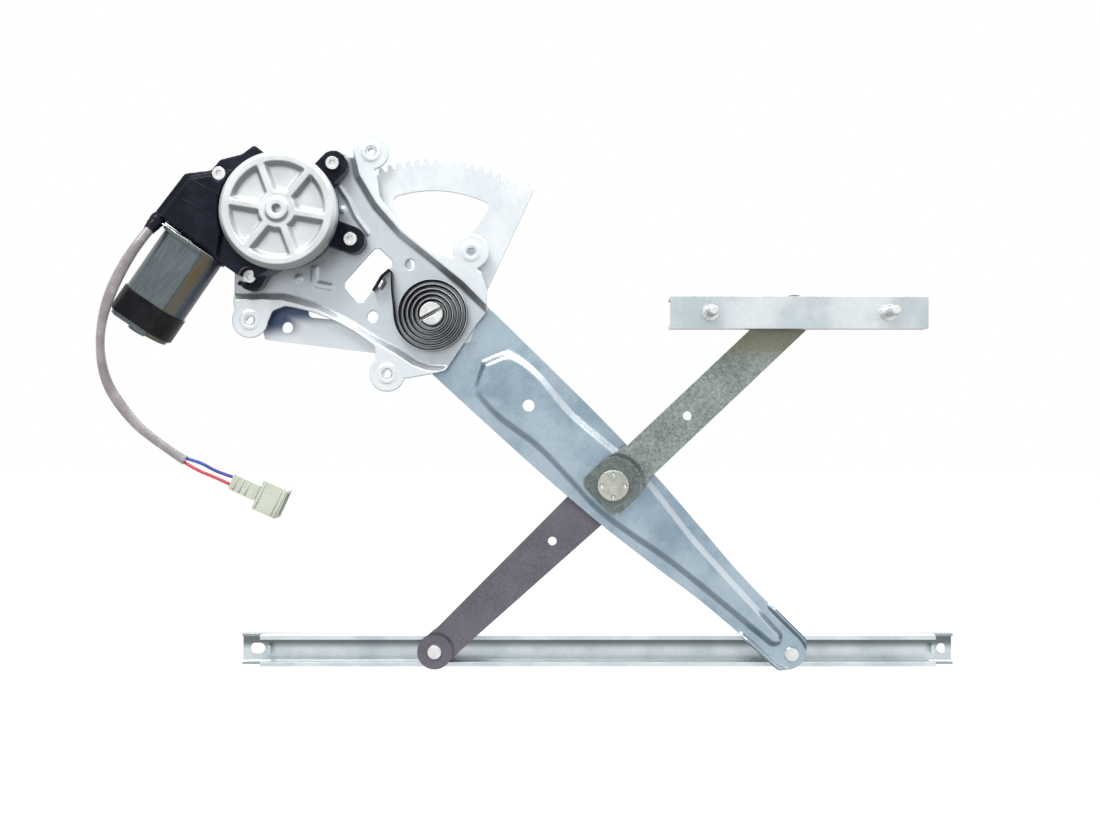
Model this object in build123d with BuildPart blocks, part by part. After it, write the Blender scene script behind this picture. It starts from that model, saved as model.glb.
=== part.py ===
from build123d import *
import os
from math import acos, cos, pi, radians, sin, tan

# Window regulator with a cross-arm lift, as it stands in the door, in millimetres.
# X runs to the right, Z up and the front faces -Y. The origin is the centre of the lower
# fixing hole on the face that seats against the door.

os.makedirs("parts", exist_ok=True)

# Linkage
PIVOT_X, PIVOT_Z = 29.7, 39.8
HALF_ARM = 166.5
REST_ANGLE = -43.4
ROLLER_R = 8.5
ROLLER_GAP = 0.25

# Gears
MODULE = 2.0
PINION_TEETH = 12
SECTOR_TEETH = 104
PRESSURE_ANGLE = 20.0
BACKLASH = 0.25
MESH_ANGLE = 146.1
GAPS_RIGHT, GAPS_LEFT = 26, 3
SECTOR_TIP_R = MODULE * (SECTOR_TEETH / 2 + 0.7)
WHEEL_R = 30.6

# Depths from the seating plane, front to back
RIM_FRONT = 0.6
SHEET = 2.0
WEB_BACK = 8.0
SECTOR_FRONT, SECTOR_T = 10.0, 2.8
LIFT_T = 2.4
EMBOSS_DEPTH = 4.0
CROSS_T = 2.8
UPPER_ARM_BACK = 6.0
UPPER_JOGGLE = 2.8
LOWER_ARM_FRONT = 17.2
CHANNEL_FRONT, CHANNEL_BACK = 24.0, 36.5
SHORT_FRONT, SHORT_BACK = -12.0, 1.0
FACE_GAP = 0.15

# Base plate
EAR_R = 12.0
SEAT_R = 6.2
FIXING_R = 3.2
NUT_R, NUT_T, NUT_BORE_R = 7.5, 4.5, 2.6
PILOT_R = FIXING_R - 0.05
WALL_ANGLE = 35.0
EARS = {"upper": (-40.3, 108.1), "right": (26.2, 41.6), "lower": (-29.7, -39.8), "left": (-121.1, -4.0)}

# Pivot
SHAFT_R = 7.6
SHAFT_GAP = 0.05
SHAFT_FRONT = -4.0
SLOT_W, SLOT_ANGLE = 2.5, 28.0

# Counterbalance spring
SPRING_FRONT, SPRING_BACK = -3.0, 5.0
SPRING_T = 1.3
SPRING_INNER_R, SPRING_OUTER_R = 9.4, 25.4
SPRING_TURNS = 5
SPRING_END_ANGLE = 185.6
SPRING_TAB, SPRING_TAB_ANGLE = (-33.6, 19.5), 59.0

# Motor
MOTOR_X, MOTOR_Z = -96.3, 64.7
COVER_R = 38.0
COVER_FRONT = -29.0
HOUSING_FRONT = -19.0
SCREW_RADIUS = 46.5
SCREW_ANGLES = (46.8, -20.2, 241.0)
SCREW_SHANK_R, SCREW_HEAD_R = 2.5, 4.3
CAN_X, CAN_Z, CAN_DEPTH = -154.7, 44.8, -7.5
CAN_ANGLE = -124.5
CAN_R, CAN_FLAT, CAN_WALL = 21.0, 17.0, 1.5
CAN_LENGTH = 66.0
BAND_START, BAND_END, BAND_T = 46.0, 63.0, 1.2
WORM_R = 6.0
WORM_FROM_CAN = 49.5

# Channels
LONG_LEFT = -134.0
SHORT_HALF = 84.5
CHANNEL_WALL = 1.8
CHANNEL_LIP = 1.1
STUD_SPACING = 116.4
STUD_R, STUD_TIP = 3.0, -31.0
STUD_SEAT_R, STUD_FLANGE_R, STUD_FLANGE_T = 2.6, 5.4, 1.6

# Lead
SLEEVE_R = 3.3
WIRE_R = 1.1
LEAD_DEPTH = -12.0


def front(depth, x=0.0, z=0.0):
    """Plane at a depth, facing the front, its centre given from the main pivot."""
    return Plane(origin=(PIVOT_X + x, depth, PIVOT_Z + z), x_dir=(1, 0, 0), z_dir=(0, -1, 0))


def along(depth, x, z, angle):
    """Front plane turned so that its own X runs at an angle above the frame's X."""
    turn = radians(angle)
    return Plane(
        origin=(PIVOT_X + x, depth, PIVOT_Z + z),
        x_dir=(cos(turn), 0, sin(turn)),
        z_dir=(0, -1, 0),
    )


def polar(radius, angle):
    return (radius * cos(radians(angle)), radius * sin(radians(angle)))


def keep(piece, name):
    piece.part.label = name
    export_step(piece.part, f"parts/{name}.step")


ARM_REACH = 2 * HALF_ARM
CROSS = polar(HALF_ARM, REST_ANGLE)
LIFT_END = polar(ARM_REACH, REST_ANGLE)
LOWER_END = (0.0, LIFT_END[1])
UPPER_END = (LIFT_END[0], 0.0)
ARM_RISE = -REST_ANGLE
SECTOR_BACK = SECTOR_FRONT + SECTOR_T
LIFT_BACK = SECTOR_BACK + LIFT_T
EMBOSS_FRONT = SECTOR_BACK - EMBOSS_DEPTH
WEB_FRONT = WEB_BACK - SHEET
ROLLER_FRONT = CHANNEL_FRONT + 2.0
CHANNEL_HALF = ROLLER_R + ROLLER_GAP + CHANNEL_WALL


def involute(angle):
    return tan(angle) - angle


def tooth_half_angle(radius, teeth):
    """Half of a tooth's angle, in degrees, at a radius on a wheel of so many teeth."""
    pitch = MODULE * teeth / 2
    base = pitch * cos(radians(PRESSURE_ANGLE))
    slope = acos(min(1.0, base / radius))
    half = (pi * MODULE / 2 - BACKLASH / 2) / (2 * pitch)
    return (half + involute(radians(PRESSURE_ANGLE)) - involute(slope)) * 180 / pi


def gap_points(teeth, root, tip):
    """Outline of one gap between teeth, centred on the plane's X."""
    pitch_angle = 360 / teeth
    base = MODULE * teeth / 2 * cos(radians(PRESSURE_ANGLE))
    low = max(base, root)
    radii = [root, low, (low + tip) / 2, tip, tip + MODULE]
    half = [pitch_angle / 2 - tooth_half_angle(max(r, low), teeth) for r in radii]
    left = [polar(r, a) for r, a in zip(radii, half)]
    right = [polar(r, -a) for r, a in zip(radii, half)]
    return left + right[::-1] if root != low else left[1:] + right[:0:-1]


# Base plate: web set back, rim along the upper right and the ears raised to the seating plane
PLATE_CORNERS = [
    (-97.7, 5.3), (-106.0, 2.0), (-112.4, -13.0), (-129.0, -12.0), (-133.0, 14.0),
    (-132.0, 60.0), (-118.0, 92.0), (-92.0, 100.0), (-74.0, 104.0), (-59.0, 109.0),
    (-36.5, 94.0), (-34.5, 77.7), (-21.0, 59.0), (-0.5, 42.4), (20.0, 36.0),
    (33.0, 28.0), (36.8, 16.4), (36.8, 1.7), (30.0, -6.0), (8.8, -37.5),
    (-1.0, -40.2), (-17.0, -43.0), (-37.5, -30.0), (-38.0, -22.0),
]
ARCH_TOP = (-64.0, -5.0)
STEP_LINE = [
    (-59.0, 120.0), (-51.5, 91.0), (-40.0, 71.5), (-23.0, 52.0),
    (-2.2, 35.4), (18.5, 18.8), (42.0, -5.0),
]
LOWER_STEP_LINE = [
    (-131.0, 13.4), (-99.0, 13.4), (-89.0, 10.8), (-75.6, 6.7), (-61.0, -0.6), (-50.3, -6.6),
    (-35.6, -16.0), (-22.3, -23.2), (-11.5, -30.6), (-2.2, -34.0), (9.1, -34.6),
]
STEP_SHIFT = SHEET / cos(radians(WALL_ANGLE)) - SHEET * tan(radians(WALL_ANGLE))
OPENING = [(-37.2, 45.7), (-60.0, 20.3), (-47.9, 6.2), (-25.8, 35.0)]
FOOT_BEAD, FOOT_BEAD_W = [(-79.0, 32.0), (-79.0, 20.5), (-67.0, 18.0)], 3.4
EDGE_BEAD, EDGE_BEAD_W = [(-62.9, 86.5), (-55.6, 75.6), (-51.6, 66.2), (-42.3, 53.5)], 1.8
BEAD_RISE = 0.9

MOTOR_SCREWS = [
    (MOTOR_X + polar(SCREW_RADIUS, a)[0], MOTOR_Z + polar(SCREW_RADIUS, a)[1]) for a in SCREW_ANGLES
]

with BuildPart() as base_plate:
    with BuildSketch(front(WEB_BACK)):
        with BuildLine():
            FilletPolyline(*PLATE_CORNERS, radius=2.5)
            ThreePointArc(PLATE_CORNERS[-1], ARCH_TOP, PLATE_CORNERS[0])
        make_face()
        with Locations(*EARS.values()):
            Circle(EAR_R)
    extrude(amount=WEB_BACK - RIM_FRONT)
    with BuildSketch(front(WEB_FRONT)):
        with BuildLine():
            Polyline(
                *STEP_LINE, (42.0, -34.6), *LOWER_STEP_LINE[::-1], (-170.0, 13.4), (-170.0, 120.0),
                close=True,
            )
        make_face()
    extrude(amount=WEB_FRONT, taper=-WALL_ANGLE, mode=Mode.SUBTRACT)
    with BuildSketch(front(WEB_BACK)):
        with BuildLine():
            Polyline(*STEP_LINE, (80.0, -4.0), (80.0, 140.0), (-62.0, 140.0), close=True)
        make_face()
        offset(amount=-STEP_SHIFT, kind=Kind.INTERSECTION)
    extrude(amount=WEB_BACK - RIM_FRONT - SHEET, taper=WALL_ANGLE, mode=Mode.SUBTRACT)
    with BuildSketch(front(WEB_BACK)):
        with BuildLine():
            Polyline(
                (-190.0, 13.4), *LOWER_STEP_LINE, (80.0, -34.6), (80.0, -90.0), (-190.0, -90.0),
                close=True,
            )
        make_face()
        offset(amount=-STEP_SHIFT, kind=Kind.INTERSECTION)
    extrude(amount=WEB_BACK - RIM_FRONT - SHEET, taper=WALL_ANGLE, mode=Mode.SUBTRACT)
    with BuildSketch(front(RIM_FRONT)):
        with Locations(*EARS.values()):
            Circle(SEAT_R)
    extrude(amount=RIM_FRONT)
    with BuildSketch(front(0)):
        with Locations(*EARS.values()):
            Circle(FIXING_R)
    extrude(amount=-WEB_BACK, mode=Mode.SUBTRACT)
    with BuildSketch(front(WEB_BACK)):
        Circle(SHAFT_R + SHAFT_GAP)
        with Locations((-39.9, -1.2)):
            Circle(3.6)
        with Locations((-15.1, 33.7)):
            Circle(3.4)
        with BuildLine():
            FilletPolyline(*OPENING, radius=3.5, close=True)
        make_face()
        with Locations((MOTOR_X, MOTOR_Z)):
            Circle(15.0)
        with Locations(*MOTOR_SCREWS):
            Circle(SCREW_SHANK_R + 0.15)
    extrude(amount=SHEET, mode=Mode.SUBTRACT)
    with BuildSketch(front(WEB_FRONT)):
        with Locations((-60.2, 70.0), (-89.5, 24.5)):
            Circle(2.2)
    extrude(amount=BEAD_RISE, taper=30)
    for bead, width in ((FOOT_BEAD, FOOT_BEAD_W), (EDGE_BEAD, EDGE_BEAD_W)):
        with BuildSketch(front(WEB_FRONT)):
            with BuildLine() as bead_line:
                FilletPolyline(*bead, radius=3.0)
            trace(bead_line.line, line_width=width)
        extrude(amount=BEAD_RISE)
    with BuildSketch(along(WEB_FRONT, *SPRING_TAB, SPRING_TAB_ANGLE)):
        Rectangle(6.0, SHEET)
    extrude(amount=WEB_FRONT - SPRING_FRONT)
keep(base_plate, "base_plate")

# Weld nuts behind the ears, each with a pilot collar in the ear's hole
with BuildPart() as weld_nuts:
    with BuildSketch(front(SHEET + NUT_T)):
        with Locations(*EARS.values()):
            RegularPolygon(radius=NUT_R, side_count=6)
    extrude(amount=NUT_T - RIM_FRONT)
    with BuildSketch(front(SHEET + RIM_FRONT + 0.8)):
        with Locations(*EARS.values()):
            Circle(NUT_R)
    extrude(amount=0.8)
    with BuildSketch(front(SHEET + RIM_FRONT)):
        with Locations(*EARS.values()):
            Circle(PILOT_R)
    extrude(amount=SHEET + RIM_FRONT)
    with BuildSketch(front(SHEET + NUT_T)):
        with Locations(*EARS.values()):
            Circle(NUT_BORE_R)
    extrude(amount=SHEET + NUT_T, mode=Mode.SUBTRACT)
keep(weld_nuts, "weld_nuts")

# Pivot shaft: slotted head in the spring, journal in the plate, flange against the sector
with BuildPart() as pivot_shaft:
    with BuildSketch(front(SECTOR_FRONT - FACE_GAP)):
        Circle(SHAFT_R)
    extrude(amount=SECTOR_FRONT - FACE_GAP - SHAFT_FRONT)
    with BuildSketch(front(SECTOR_FRONT)):
        Circle(SHAFT_R + 5.0)
    extrude(amount=SECTOR_FRONT - WEB_BACK - 2 * FACE_GAP)
    with BuildSketch(front(LIFT_BACK + 1.0)):
        Circle(SHAFT_R - 1.6)
    extrude(amount=LIFT_BACK + 1.0 - SECTOR_FRONT)
    with BuildSketch(front(SHAFT_FRONT)):
        Rectangle(2.4 * SHAFT_R, SLOT_W, rotation=SLOT_ANGLE)
    extrude(amount=-(SPRING_BACK + 0.3 - SHAFT_FRONT), mode=Mode.SUBTRACT)
    chamfer(pivot_shaft.faces().sort_by(Axis.Y)[0].edges().filter_by(GeomType.CIRCLE), 0.5)
keep(pivot_shaft, "pivot_shaft")

# Sector gear
SECTOR_ROOT_R = MODULE * (SECTOR_TEETH - 2.5) / 2
TOOTH_PITCH = 360 / SECTOR_TEETH
TEETH_END = MESH_ANGLE + GAPS_LEFT * TOOTH_PITCH + 3.0
TEETH_START = MESH_ANGLE - GAPS_RIGHT * TOOTH_PITCH - 3.0
HUB_R = 29.0
RIVETS = [polar(21.0, a) for a in (80.0, 200.0, 320.0)]

with BuildPart() as sector_gear:
    with BuildSketch(front(SECTOR_BACK)):
        with BuildLine():
            Polyline(
                polar(112.0, TEETH_END + 6.0), polar(SECTOR_TIP_R, TEETH_END),
            )
            CenterArc((0, 0), SECTOR_TIP_R, TEETH_START, TEETH_END - TEETH_START)
            Polyline(
                polar(SECTOR_TIP_R, TEETH_START), (64.5, 89.5), (68.0, 84.5), (36.3, 16.7),
                (25.0, -18.0), (-15.0, -27.0), (-38.5, -25.5), (-113.0, -16.5),
            )
            ThreePointArc((-113.0, -16.5), polar(115.5, 180.0), polar(112.0, TEETH_END + 6.0))
        make_face()
    extrude(amount=SECTOR_T)
    with BuildSketch(front(SECTOR_BACK)):
        with BuildLine() as first_window:
            CenterArc((0, 0), 84.0, 62.0, 47.0)
            CenterArc((0, 0), HUB_R, 75.0, 40.0)
            Line(polar(84.0, 62.0), polar(HUB_R, 75.0))
            Line(polar(84.0, 109.0), polar(HUB_R, 115.0))
        make_face()
        with BuildLine() as second_window:
            CenterArc((0, 0), 84.0, 119.0, 62.0)
            CenterArc((0, 0), HUB_R, 130.0, 63.0)
            Line(polar(84.0, 119.0), polar(HUB_R, 130.0))
            Line(polar(84.0, 181.0), polar(HUB_R, 193.0))
        make_face()
    extrude(amount=SECTOR_T, mode=Mode.SUBTRACT)
    fillet(
        sector_gear.edges().filter_by(Axis.Y).filter_by(
            lambda e: 27 < (e.center() - front(e.center().Y).origin).length < 86
        ).filter_by(lambda e: e.center().Z > PIVOT_Z - 10 and not e.center().X > PIVOT_X + 50),
        4.0,
    )
    with BuildSketch(front(SECTOR_BACK)):
        Circle(SHAFT_R - 1.6)
        with Locations((-98.0, -8.3)):
            Circle(3.7)
        with Locations(*RIVETS):
            Circle(2.5)
    extrude(amount=SECTOR_T, mode=Mode.SUBTRACT)
    with BuildSketch(front(SECTOR_BACK)):
        with BuildLine():
            Polyline(*gap_points(SECTOR_TEETH, SECTOR_ROOT_R, SECTOR_TIP_R), close=True)
        tooth_gap = make_face(mode=Mode.PRIVATE)
        for n in range(-GAPS_RIGHT, GAPS_LEFT + 1):
            add(tooth_gap.rotate(Axis.Z, MESH_ANGLE + n * TOOTH_PITCH))
    extrude(amount=SECTOR_T, mode=Mode.SUBTRACT)
keep(sector_gear, "sector_gear")

# Lift arm: tapered stamping with a long raised panel and turned-up sides at its end
ARM_TIP = ARM_REACH + 5.0
ARM_HALF = [
    (0.0, 29.5), (110.0, 28.0), (HALF_ARM - 16.5, 26.5), (HALF_ARM + 16.5, 24.5),
    (HALF_ARM + 57.5, 20.5), (ARM_TIP - 66.0, 15.5), (ARM_TIP, 13.5),
]
PANEL_HALF = [
    (44.0, 14.0), (80.0, 20.0), (112.0, 15.0), (HALF_ARM - 21.5, 18.5),
    (HALF_ARM + 18.5, 18.0), (HALF_ARM + 63.5, 11.5), (ARM_TIP - 38.0, 6.0), (ARM_TIP - 17.0, 3.0),
]
PANEL_SHIFT = LIFT_T / cos(radians(WALL_ANGLE)) - LIFT_T * tan(radians(WALL_ANGLE))
ARM_HOLE_AT = 88.5
SIDE_FLANGE_LENGTH, SIDE_FLANGE_T, SIDE_FLANGE_RISE = 37.0, 2.0, 5.5
PIVOT_R = 7.5


def mirrored(points):
    return points + [(s, -t) for s, t in reversed(points)]


with BuildPart() as lift_arm:
    with BuildSketch(along(LIFT_BACK, 0, 0, REST_ANGLE)):
        with BuildLine():
            Polyline(*mirrored(ARM_HALF), close=True)
        make_face()
        Circle(ARM_HALF[0][1])
        with Locations((ARM_TIP - 9.5, 0)):
            Circle(ARM_HALF[-1][1])
    extrude(amount=LIFT_T)
    with BuildSketch(along(SECTOR_BACK, 0, 0, REST_ANGLE)):
        with BuildLine():
            Polyline(*mirrored(PANEL_HALF), close=True)
        make_face()
    extrude(amount=EMBOSS_DEPTH, taper=WALL_ANGLE)
    with BuildSketch(along(LIFT_BACK, 0, 0, REST_ANGLE)):
        with BuildLine():
            Polyline(*mirrored(PANEL_HALF), close=True)
        make_face()
        offset(amount=-PANEL_SHIFT, kind=Kind.INTERSECTION)
    extrude(amount=EMBOSS_DEPTH, taper=WALL_ANGLE, mode=Mode.SUBTRACT)
    with BuildSketch(along(SECTOR_BACK, 0, 0, REST_ANGLE)):
        for side in (1, -1):
            with BuildLine():
                Polyline(
                    (ARM_TIP - 1.0 - SIDE_FLANGE_LENGTH, side * 14.6),
                    (ARM_TIP - 1.0, side * 13.6),
                    (ARM_TIP - 1.0, side * (13.6 - SIDE_FLANGE_T)),
                    (ARM_TIP - 1.0 - SIDE_FLANGE_LENGTH, side * (14.6 - SIDE_FLANGE_T)),
                    close=True,
                )
            make_face()
    extrude(amount=SIDE_FLANGE_RISE)
    with BuildSketch(along(LIFT_BACK, 0, 0, REST_ANGLE)):
        Circle(SHAFT_R - 1.6)
        with Locations((ARM_HOLE_AT, 0)):
            Circle(4.0)
        with Locations((HALF_ARM, 0)):
            Circle(PIVOT_R + SHAFT_GAP)
        with Locations((ARM_REACH, 0)):
            Circle(3.5)
    extrude(amount=LIFT_BACK - EMBOSS_FRONT, mode=Mode.SUBTRACT)
    with BuildSketch(front(LIFT_BACK)):
        with Locations(*RIVETS):
            Circle(2.5)
    extrude(amount=LIFT_T, mode=Mode.SUBTRACT)
keep(lift_arm, "lift_arm")

with BuildPart() as sector_rivets:
    with BuildSketch(front(LIFT_BACK + 1.4)):
        with Locations(*RIVETS):
            Circle(4.2)
    extrude(amount=1.4)
    with BuildSketch(front(LIFT_BACK)):
        with Locations(*RIVETS):
            Circle(2.5)
    extrude(amount=LIFT_BACK - SECTOR_FRONT)
    with BuildSketch(front(SECTOR_FRONT)):
        with Locations(*RIVETS):
            Circle(4.2)
    extrude(amount=1.2)
keep(sector_rivets, "sector_rivets")

# Cross arm: two straight arms on the two ends of a hollow pivot
UPPER_FRONT = UPPER_ARM_BACK - CROSS_T
UPPER_END_FRONT = EMBOSS_FRONT - FACE_GAP - CROSS_T
LOWER_BACK = LOWER_ARM_FRONT + CROSS_T
LOWER_END_STEP = 2.5
JOGGLE_R, LOWER_JOGGLE_R = 19.5, 12.0
UPPER_SIDE = [(-15.0, 12.5), (-11.0, 16.8), (8.0, 17.0), (26.0, 13.1), (HALF_ARM, 13.0)]
LOWER_SIDE = [(-14.0, 11.0), (-10.0, 15.0), (4.0, 15.6), (HALF_ARM - 14.0, 11.0), (HALF_ARM, 11.8)]

with BuildPart() as upper_cross_arm:
    with BuildSketch(along(EMBOSS_FRONT - FACE_GAP, *CROSS, ARM_RISE)):
        with BuildLine():
            Polyline(*mirrored(UPPER_SIDE), close=True)
        make_face()
        with Locations((HALF_ARM, 0)):
            Circle(UPPER_SIDE[-1][1])
    extrude(amount=EMBOSS_FRONT - FACE_GAP - UPPER_FRONT)
    with BuildSketch(along(UPPER_END_FRONT, *CROSS, ARM_RISE)):
        Circle(JOGGLE_R)
    extrude(amount=UPPER_END_FRONT - UPPER_FRONT, taper=-45, mode=Mode.SUBTRACT)
    with BuildSketch(along(EMBOSS_FRONT - FACE_GAP, *CROSS, ARM_RISE)):
        with Locations((HALF_ARM, 0)):
            Rectangle(2 * HALF_ARM, 60)
        Circle(JOGGLE_R + 3.4, mode=Mode.SUBTRACT)
    extrude(amount=EMBOSS_FRONT - FACE_GAP - UPPER_ARM_BACK, mode=Mode.SUBTRACT)
    with BuildSketch(along(EMBOSS_FRONT, *CROSS, ARM_RISE)):
        Circle(PIVOT_R)
        with Locations((68.0, 0)):
            Circle(3.0)
        with Locations((HALF_ARM, 0)):
            Circle(3.5)
    extrude(amount=EMBOSS_FRONT, mode=Mode.SUBTRACT)
keep(upper_cross_arm, "upper_cross_arm")

with BuildPart() as lower_cross_arm:
    with BuildSketch(along(LOWER_BACK + LOWER_END_STEP, *CROSS, ARM_RISE + 180)):
        with BuildLine():
            Polyline(*mirrored(LOWER_SIDE), close=True)
        make_face()
        with Locations((HALF_ARM, 0)):
            Circle(LOWER_SIDE[-1][1])
    extrude(amount=CROSS_T + LOWER_END_STEP)
    with BuildSketch(along(LOWER_ARM_FRONT + LOWER_END_STEP, *CROSS, ARM_RISE + 180)):
        with Locations((HALF_ARM, 0)):
            Circle(LOWER_JOGGLE_R)
    extrude(amount=LOWER_END_STEP, taper=-45, mode=Mode.SUBTRACT)
    with BuildSketch(along(LOWER_BACK + LOWER_END_STEP, *CROSS, ARM_RISE + 180)):
        Rectangle(2 * HALF_ARM + 30, 60)
        with Locations((HALF_ARM, 0)):
            Circle(LOWER_JOGGLE_R + 3.2, mode=Mode.SUBTRACT)
    extrude(amount=LOWER_END_STEP, mode=Mode.SUBTRACT)
    with BuildSketch(along(LOWER_BACK + LOWER_END_STEP, *CROSS, ARM_RISE + 180)):
        Circle(PIVOT_R)
        with Locations((56.0, 0)):
            Circle(3.0)
        with Locations((HALF_ARM, 0)):
            Circle(3.5)
    extrude(amount=CROSS_T + LOWER_END_STEP, mode=Mode.SUBTRACT)
keep(lower_cross_arm, "lower_cross_arm")

PIVOT_HEAD_R, PIVOT_HEAD_T = 10.0, 1.2
with BuildPart() as cross_pivot:
    with BuildSketch(front(LOWER_BACK + 0.8, *CROSS)):
        Circle(PIVOT_R)
    extrude(amount=LOWER_BACK + 0.8 - UPPER_END_FRONT)
    with BuildSketch(front(UPPER_END_FRONT, *CROSS)):
        Circle(PIVOT_HEAD_R)
    extrude(amount=PIVOT_HEAD_T)
    chamfer(cross_pivot.faces().sort_by(Axis.Y)[0].edges(), 0.4)
    with BuildSketch(front(LOWER_BACK + 0.8, *CROSS)):
        Circle(3.6)
    extrude(amount=LOWER_BACK + 0.8 - UPPER_END_FRONT + PIVOT_HEAD_T, mode=Mode.SUBTRACT)
    with BuildSketch(front(UPPER_END_FRONT - PIVOT_HEAD_T, *CROSS)):
        with PolarLocations(7.6, 4, start_angle=45):
            Circle(1.2)
    extrude(amount=-0.7, mode=Mode.SUBTRACT)
keep(cross_pivot, "cross_pivot")

with BuildPart() as pivot_washer:
    with BuildSketch(front(LOWER_ARM_FRONT, *CROSS)):
        Circle(12.0)
        Circle(PIVOT_R, mode=Mode.SUBTRACT)
    extrude(amount=LOWER_ARM_FRONT - (EMBOSS_FRONT + LIFT_T) - FACE_GAP)
keep(pivot_washer, "pivot_washer")

# Pins and rollers
PIN_R, PIN_SHOULDER_R = 4.0, 5.2
ROLLER_T, NECK_R, NECK_T = 7.5, 6.6, 2.6
LIP_T = 1.8
ROLLER_DISC_FRONT = CHANNEL_FRONT + LIP_T + 0.4
SHORT_ROLLER_BACK = SHORT_BACK - LIP_T - 0.4


def build_pin(centre, arm_front, arm_back, tip):
    """Pin riveted through an arm, with a shoulder towards its roller and a domed rivet head."""
    away = 1 if tip > arm_back else -1
    seat = arm_back if away > 0 else arm_front
    head = arm_front if away > 0 else arm_back
    neck_end = ROLLER_DISC_FRONT - NECK_T if away > 0 else SHORT_ROLLER_BACK + NECK_T
    with BuildPart() as pin:
        with BuildSketch(front(seat, *centre)):
            Circle(3.5)
        extrude(amount=away * (seat - head) * away)
        with BuildSketch(front(seat, *centre)):
            Circle(PIN_SHOULDER_R)
        extrude(amount=seat - neck_end + away * FACE_GAP)
        with BuildSketch(front(seat, *centre)):
            Circle(PIN_R)
        extrude(amount=seat - tip)
        with BuildSketch(front(head, *centre)):
            Circle(PIN_SHOULDER_R)
        extrude(amount=away * 1.4, taper=25)
    return pin


lift_pin = build_pin(LIFT_END, SECTOR_BACK, LIFT_BACK, ROLLER_DISC_FRONT + ROLLER_T)
keep(lift_pin, "lift_pin")
lower_pin = build_pin(
    LOWER_END, LOWER_ARM_FRONT + LOWER_END_STEP, LOWER_BACK + LOWER_END_STEP, ROLLER_DISC_FRONT + ROLLER_T
)
keep(lower_pin, "lower_pin")
upper_pin = build_pin(UPPER_END, UPPER_FRONT, UPPER_ARM_BACK, SHORT_ROLLER_BACK - ROLLER_T)
keep(upper_pin, "upper_pin")


def build_roller(centre, back, neck_to):
    """Grooved plastic roller: a disc inside the channel and a neck between its lips."""
    with BuildPart() as roller:
        with BuildSketch(front(back, *centre)):
            Circle(ROLLER_R)
        extrude(amount=ROLLER_T)
        chamfer(roller.edges().filter_by(GeomType.CIRCLE), 0.6)
        start = back if neck_to > back else back - ROLLER_T
        with BuildSketch(front(start, *centre)):
            Circle(NECK_R)
        extrude(amount=start - neck_to)
        with BuildSketch(front(max(back, neck_to), *centre)):
            Circle(PIN_R + SHAFT_GAP)
        extrude(amount=ROLLER_T + NECK_T, mode=Mode.SUBTRACT)
    return roller


lift_roller = build_roller(LIFT_END, ROLLER_DISC_FRONT + ROLLER_T, ROLLER_DISC_FRONT - NECK_T)
keep(lift_roller, "lift_roller")
lower_roller = build_roller(LOWER_END, ROLLER_DISC_FRONT + ROLLER_T, ROLLER_DISC_FRONT - NECK_T)
keep(lower_roller, "lower_roller")
upper_roller = build_roller(UPPER_END, SHORT_ROLLER_BACK, SHORT_ROLLER_BACK + NECK_T)
keep(upper_roller, "upper_roller")

# Channels: rolled sections with small lips that hold the rollers
END_TAB, END_FLANGE = 14.0, 5.0
STOP_T, STOP_HALF = 1.7, 3.0
STOP_LEFT, STOP_RIGHT = LONG_LEFT + 20.0, ARM_REACH + ROLLER_R + ROLLER_GAP + STOP_T
LONG_RIGHT = STOP_RIGHT + END_TAB - 0.45
SLOT_AT, HOLE_AT = LONG_LEFT + 10.0, LONG_RIGHT - END_TAB / 2
HOLE_R, SLOT_LONG, SLOT_WIDE = 3.2, 10.2, 7.0


def channel_section(left, back, z, depth, opens):
    """Section plane at a channel's left end; its own X runs from the web to the open side."""
    return Plane(origin=(PIVOT_X + left, back, PIVOT_Z + z), x_dir=(0, opens, 0), z_dir=(1, 0, 0))


def build_channel(left, right, web_face, z, depth, opens):
    with BuildPart() as channel:
        with BuildSketch(channel_section(left, web_face, z, depth, opens)):
            with Locations((depth / 2, 0)):
                Rectangle(depth, 2 * CHANNEL_HALF)
                RectangleRounded(
                    depth - CHANNEL_WALL - LIP_T, 2 * (CHANNEL_HALF - CHANNEL_WALL), 0.6, mode=Mode.SUBTRACT
                )
            with Locations((depth - LIP_T / 2, 0)):
                Rectangle(LIP_T + 1.0, 2 * (CHANNEL_HALF - CHANNEL_WALL - CHANNEL_LIP), mode=Mode.SUBTRACT)
        extrude(amount=right - left)
    return channel


long_depth = CHANNEL_BACK - CHANNEL_FRONT
short_depth = SHORT_BACK - SHORT_FRONT
glass_rail = build_channel(LONG_LEFT, LONG_RIGHT, CHANNEL_BACK, LOWER_END[1], long_depth, -1)
with BuildPart() as glass_channel:
    add(glass_rail.part)
    with BuildSketch(front(CHANNEL_BACK - END_FLANGE, 0, LOWER_END[1])):
        with Locations((LONG_LEFT, 0), (LONG_RIGHT, 0)):
            Rectangle(2 * END_TAB, 3 * CHANNEL_HALF)
    extrude(amount=long_depth, mode=Mode.SUBTRACT)
    with BuildSketch(front(CHANNEL_BACK - CHANNEL_WALL, 0, LOWER_END[1])):
        with Locations((STOP_LEFT - STOP_T / 2, 0), (STOP_RIGHT - STOP_T / 2, 0)):
            Rectangle(STOP_T, 2 * STOP_HALF)
    extrude(amount=5.5)
    with BuildSketch(front(CHANNEL_BACK, 0, LOWER_END[1])):
        with Locations((HOLE_AT, 0)):
            Circle(HOLE_R)
        with Locations((SLOT_AT, 0)):
            SlotOverall(SLOT_LONG, SLOT_WIDE)
    extrude(amount=CHANNEL_WALL, mode=Mode.SUBTRACT)
keep(glass_channel, "glass_channel")

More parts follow.
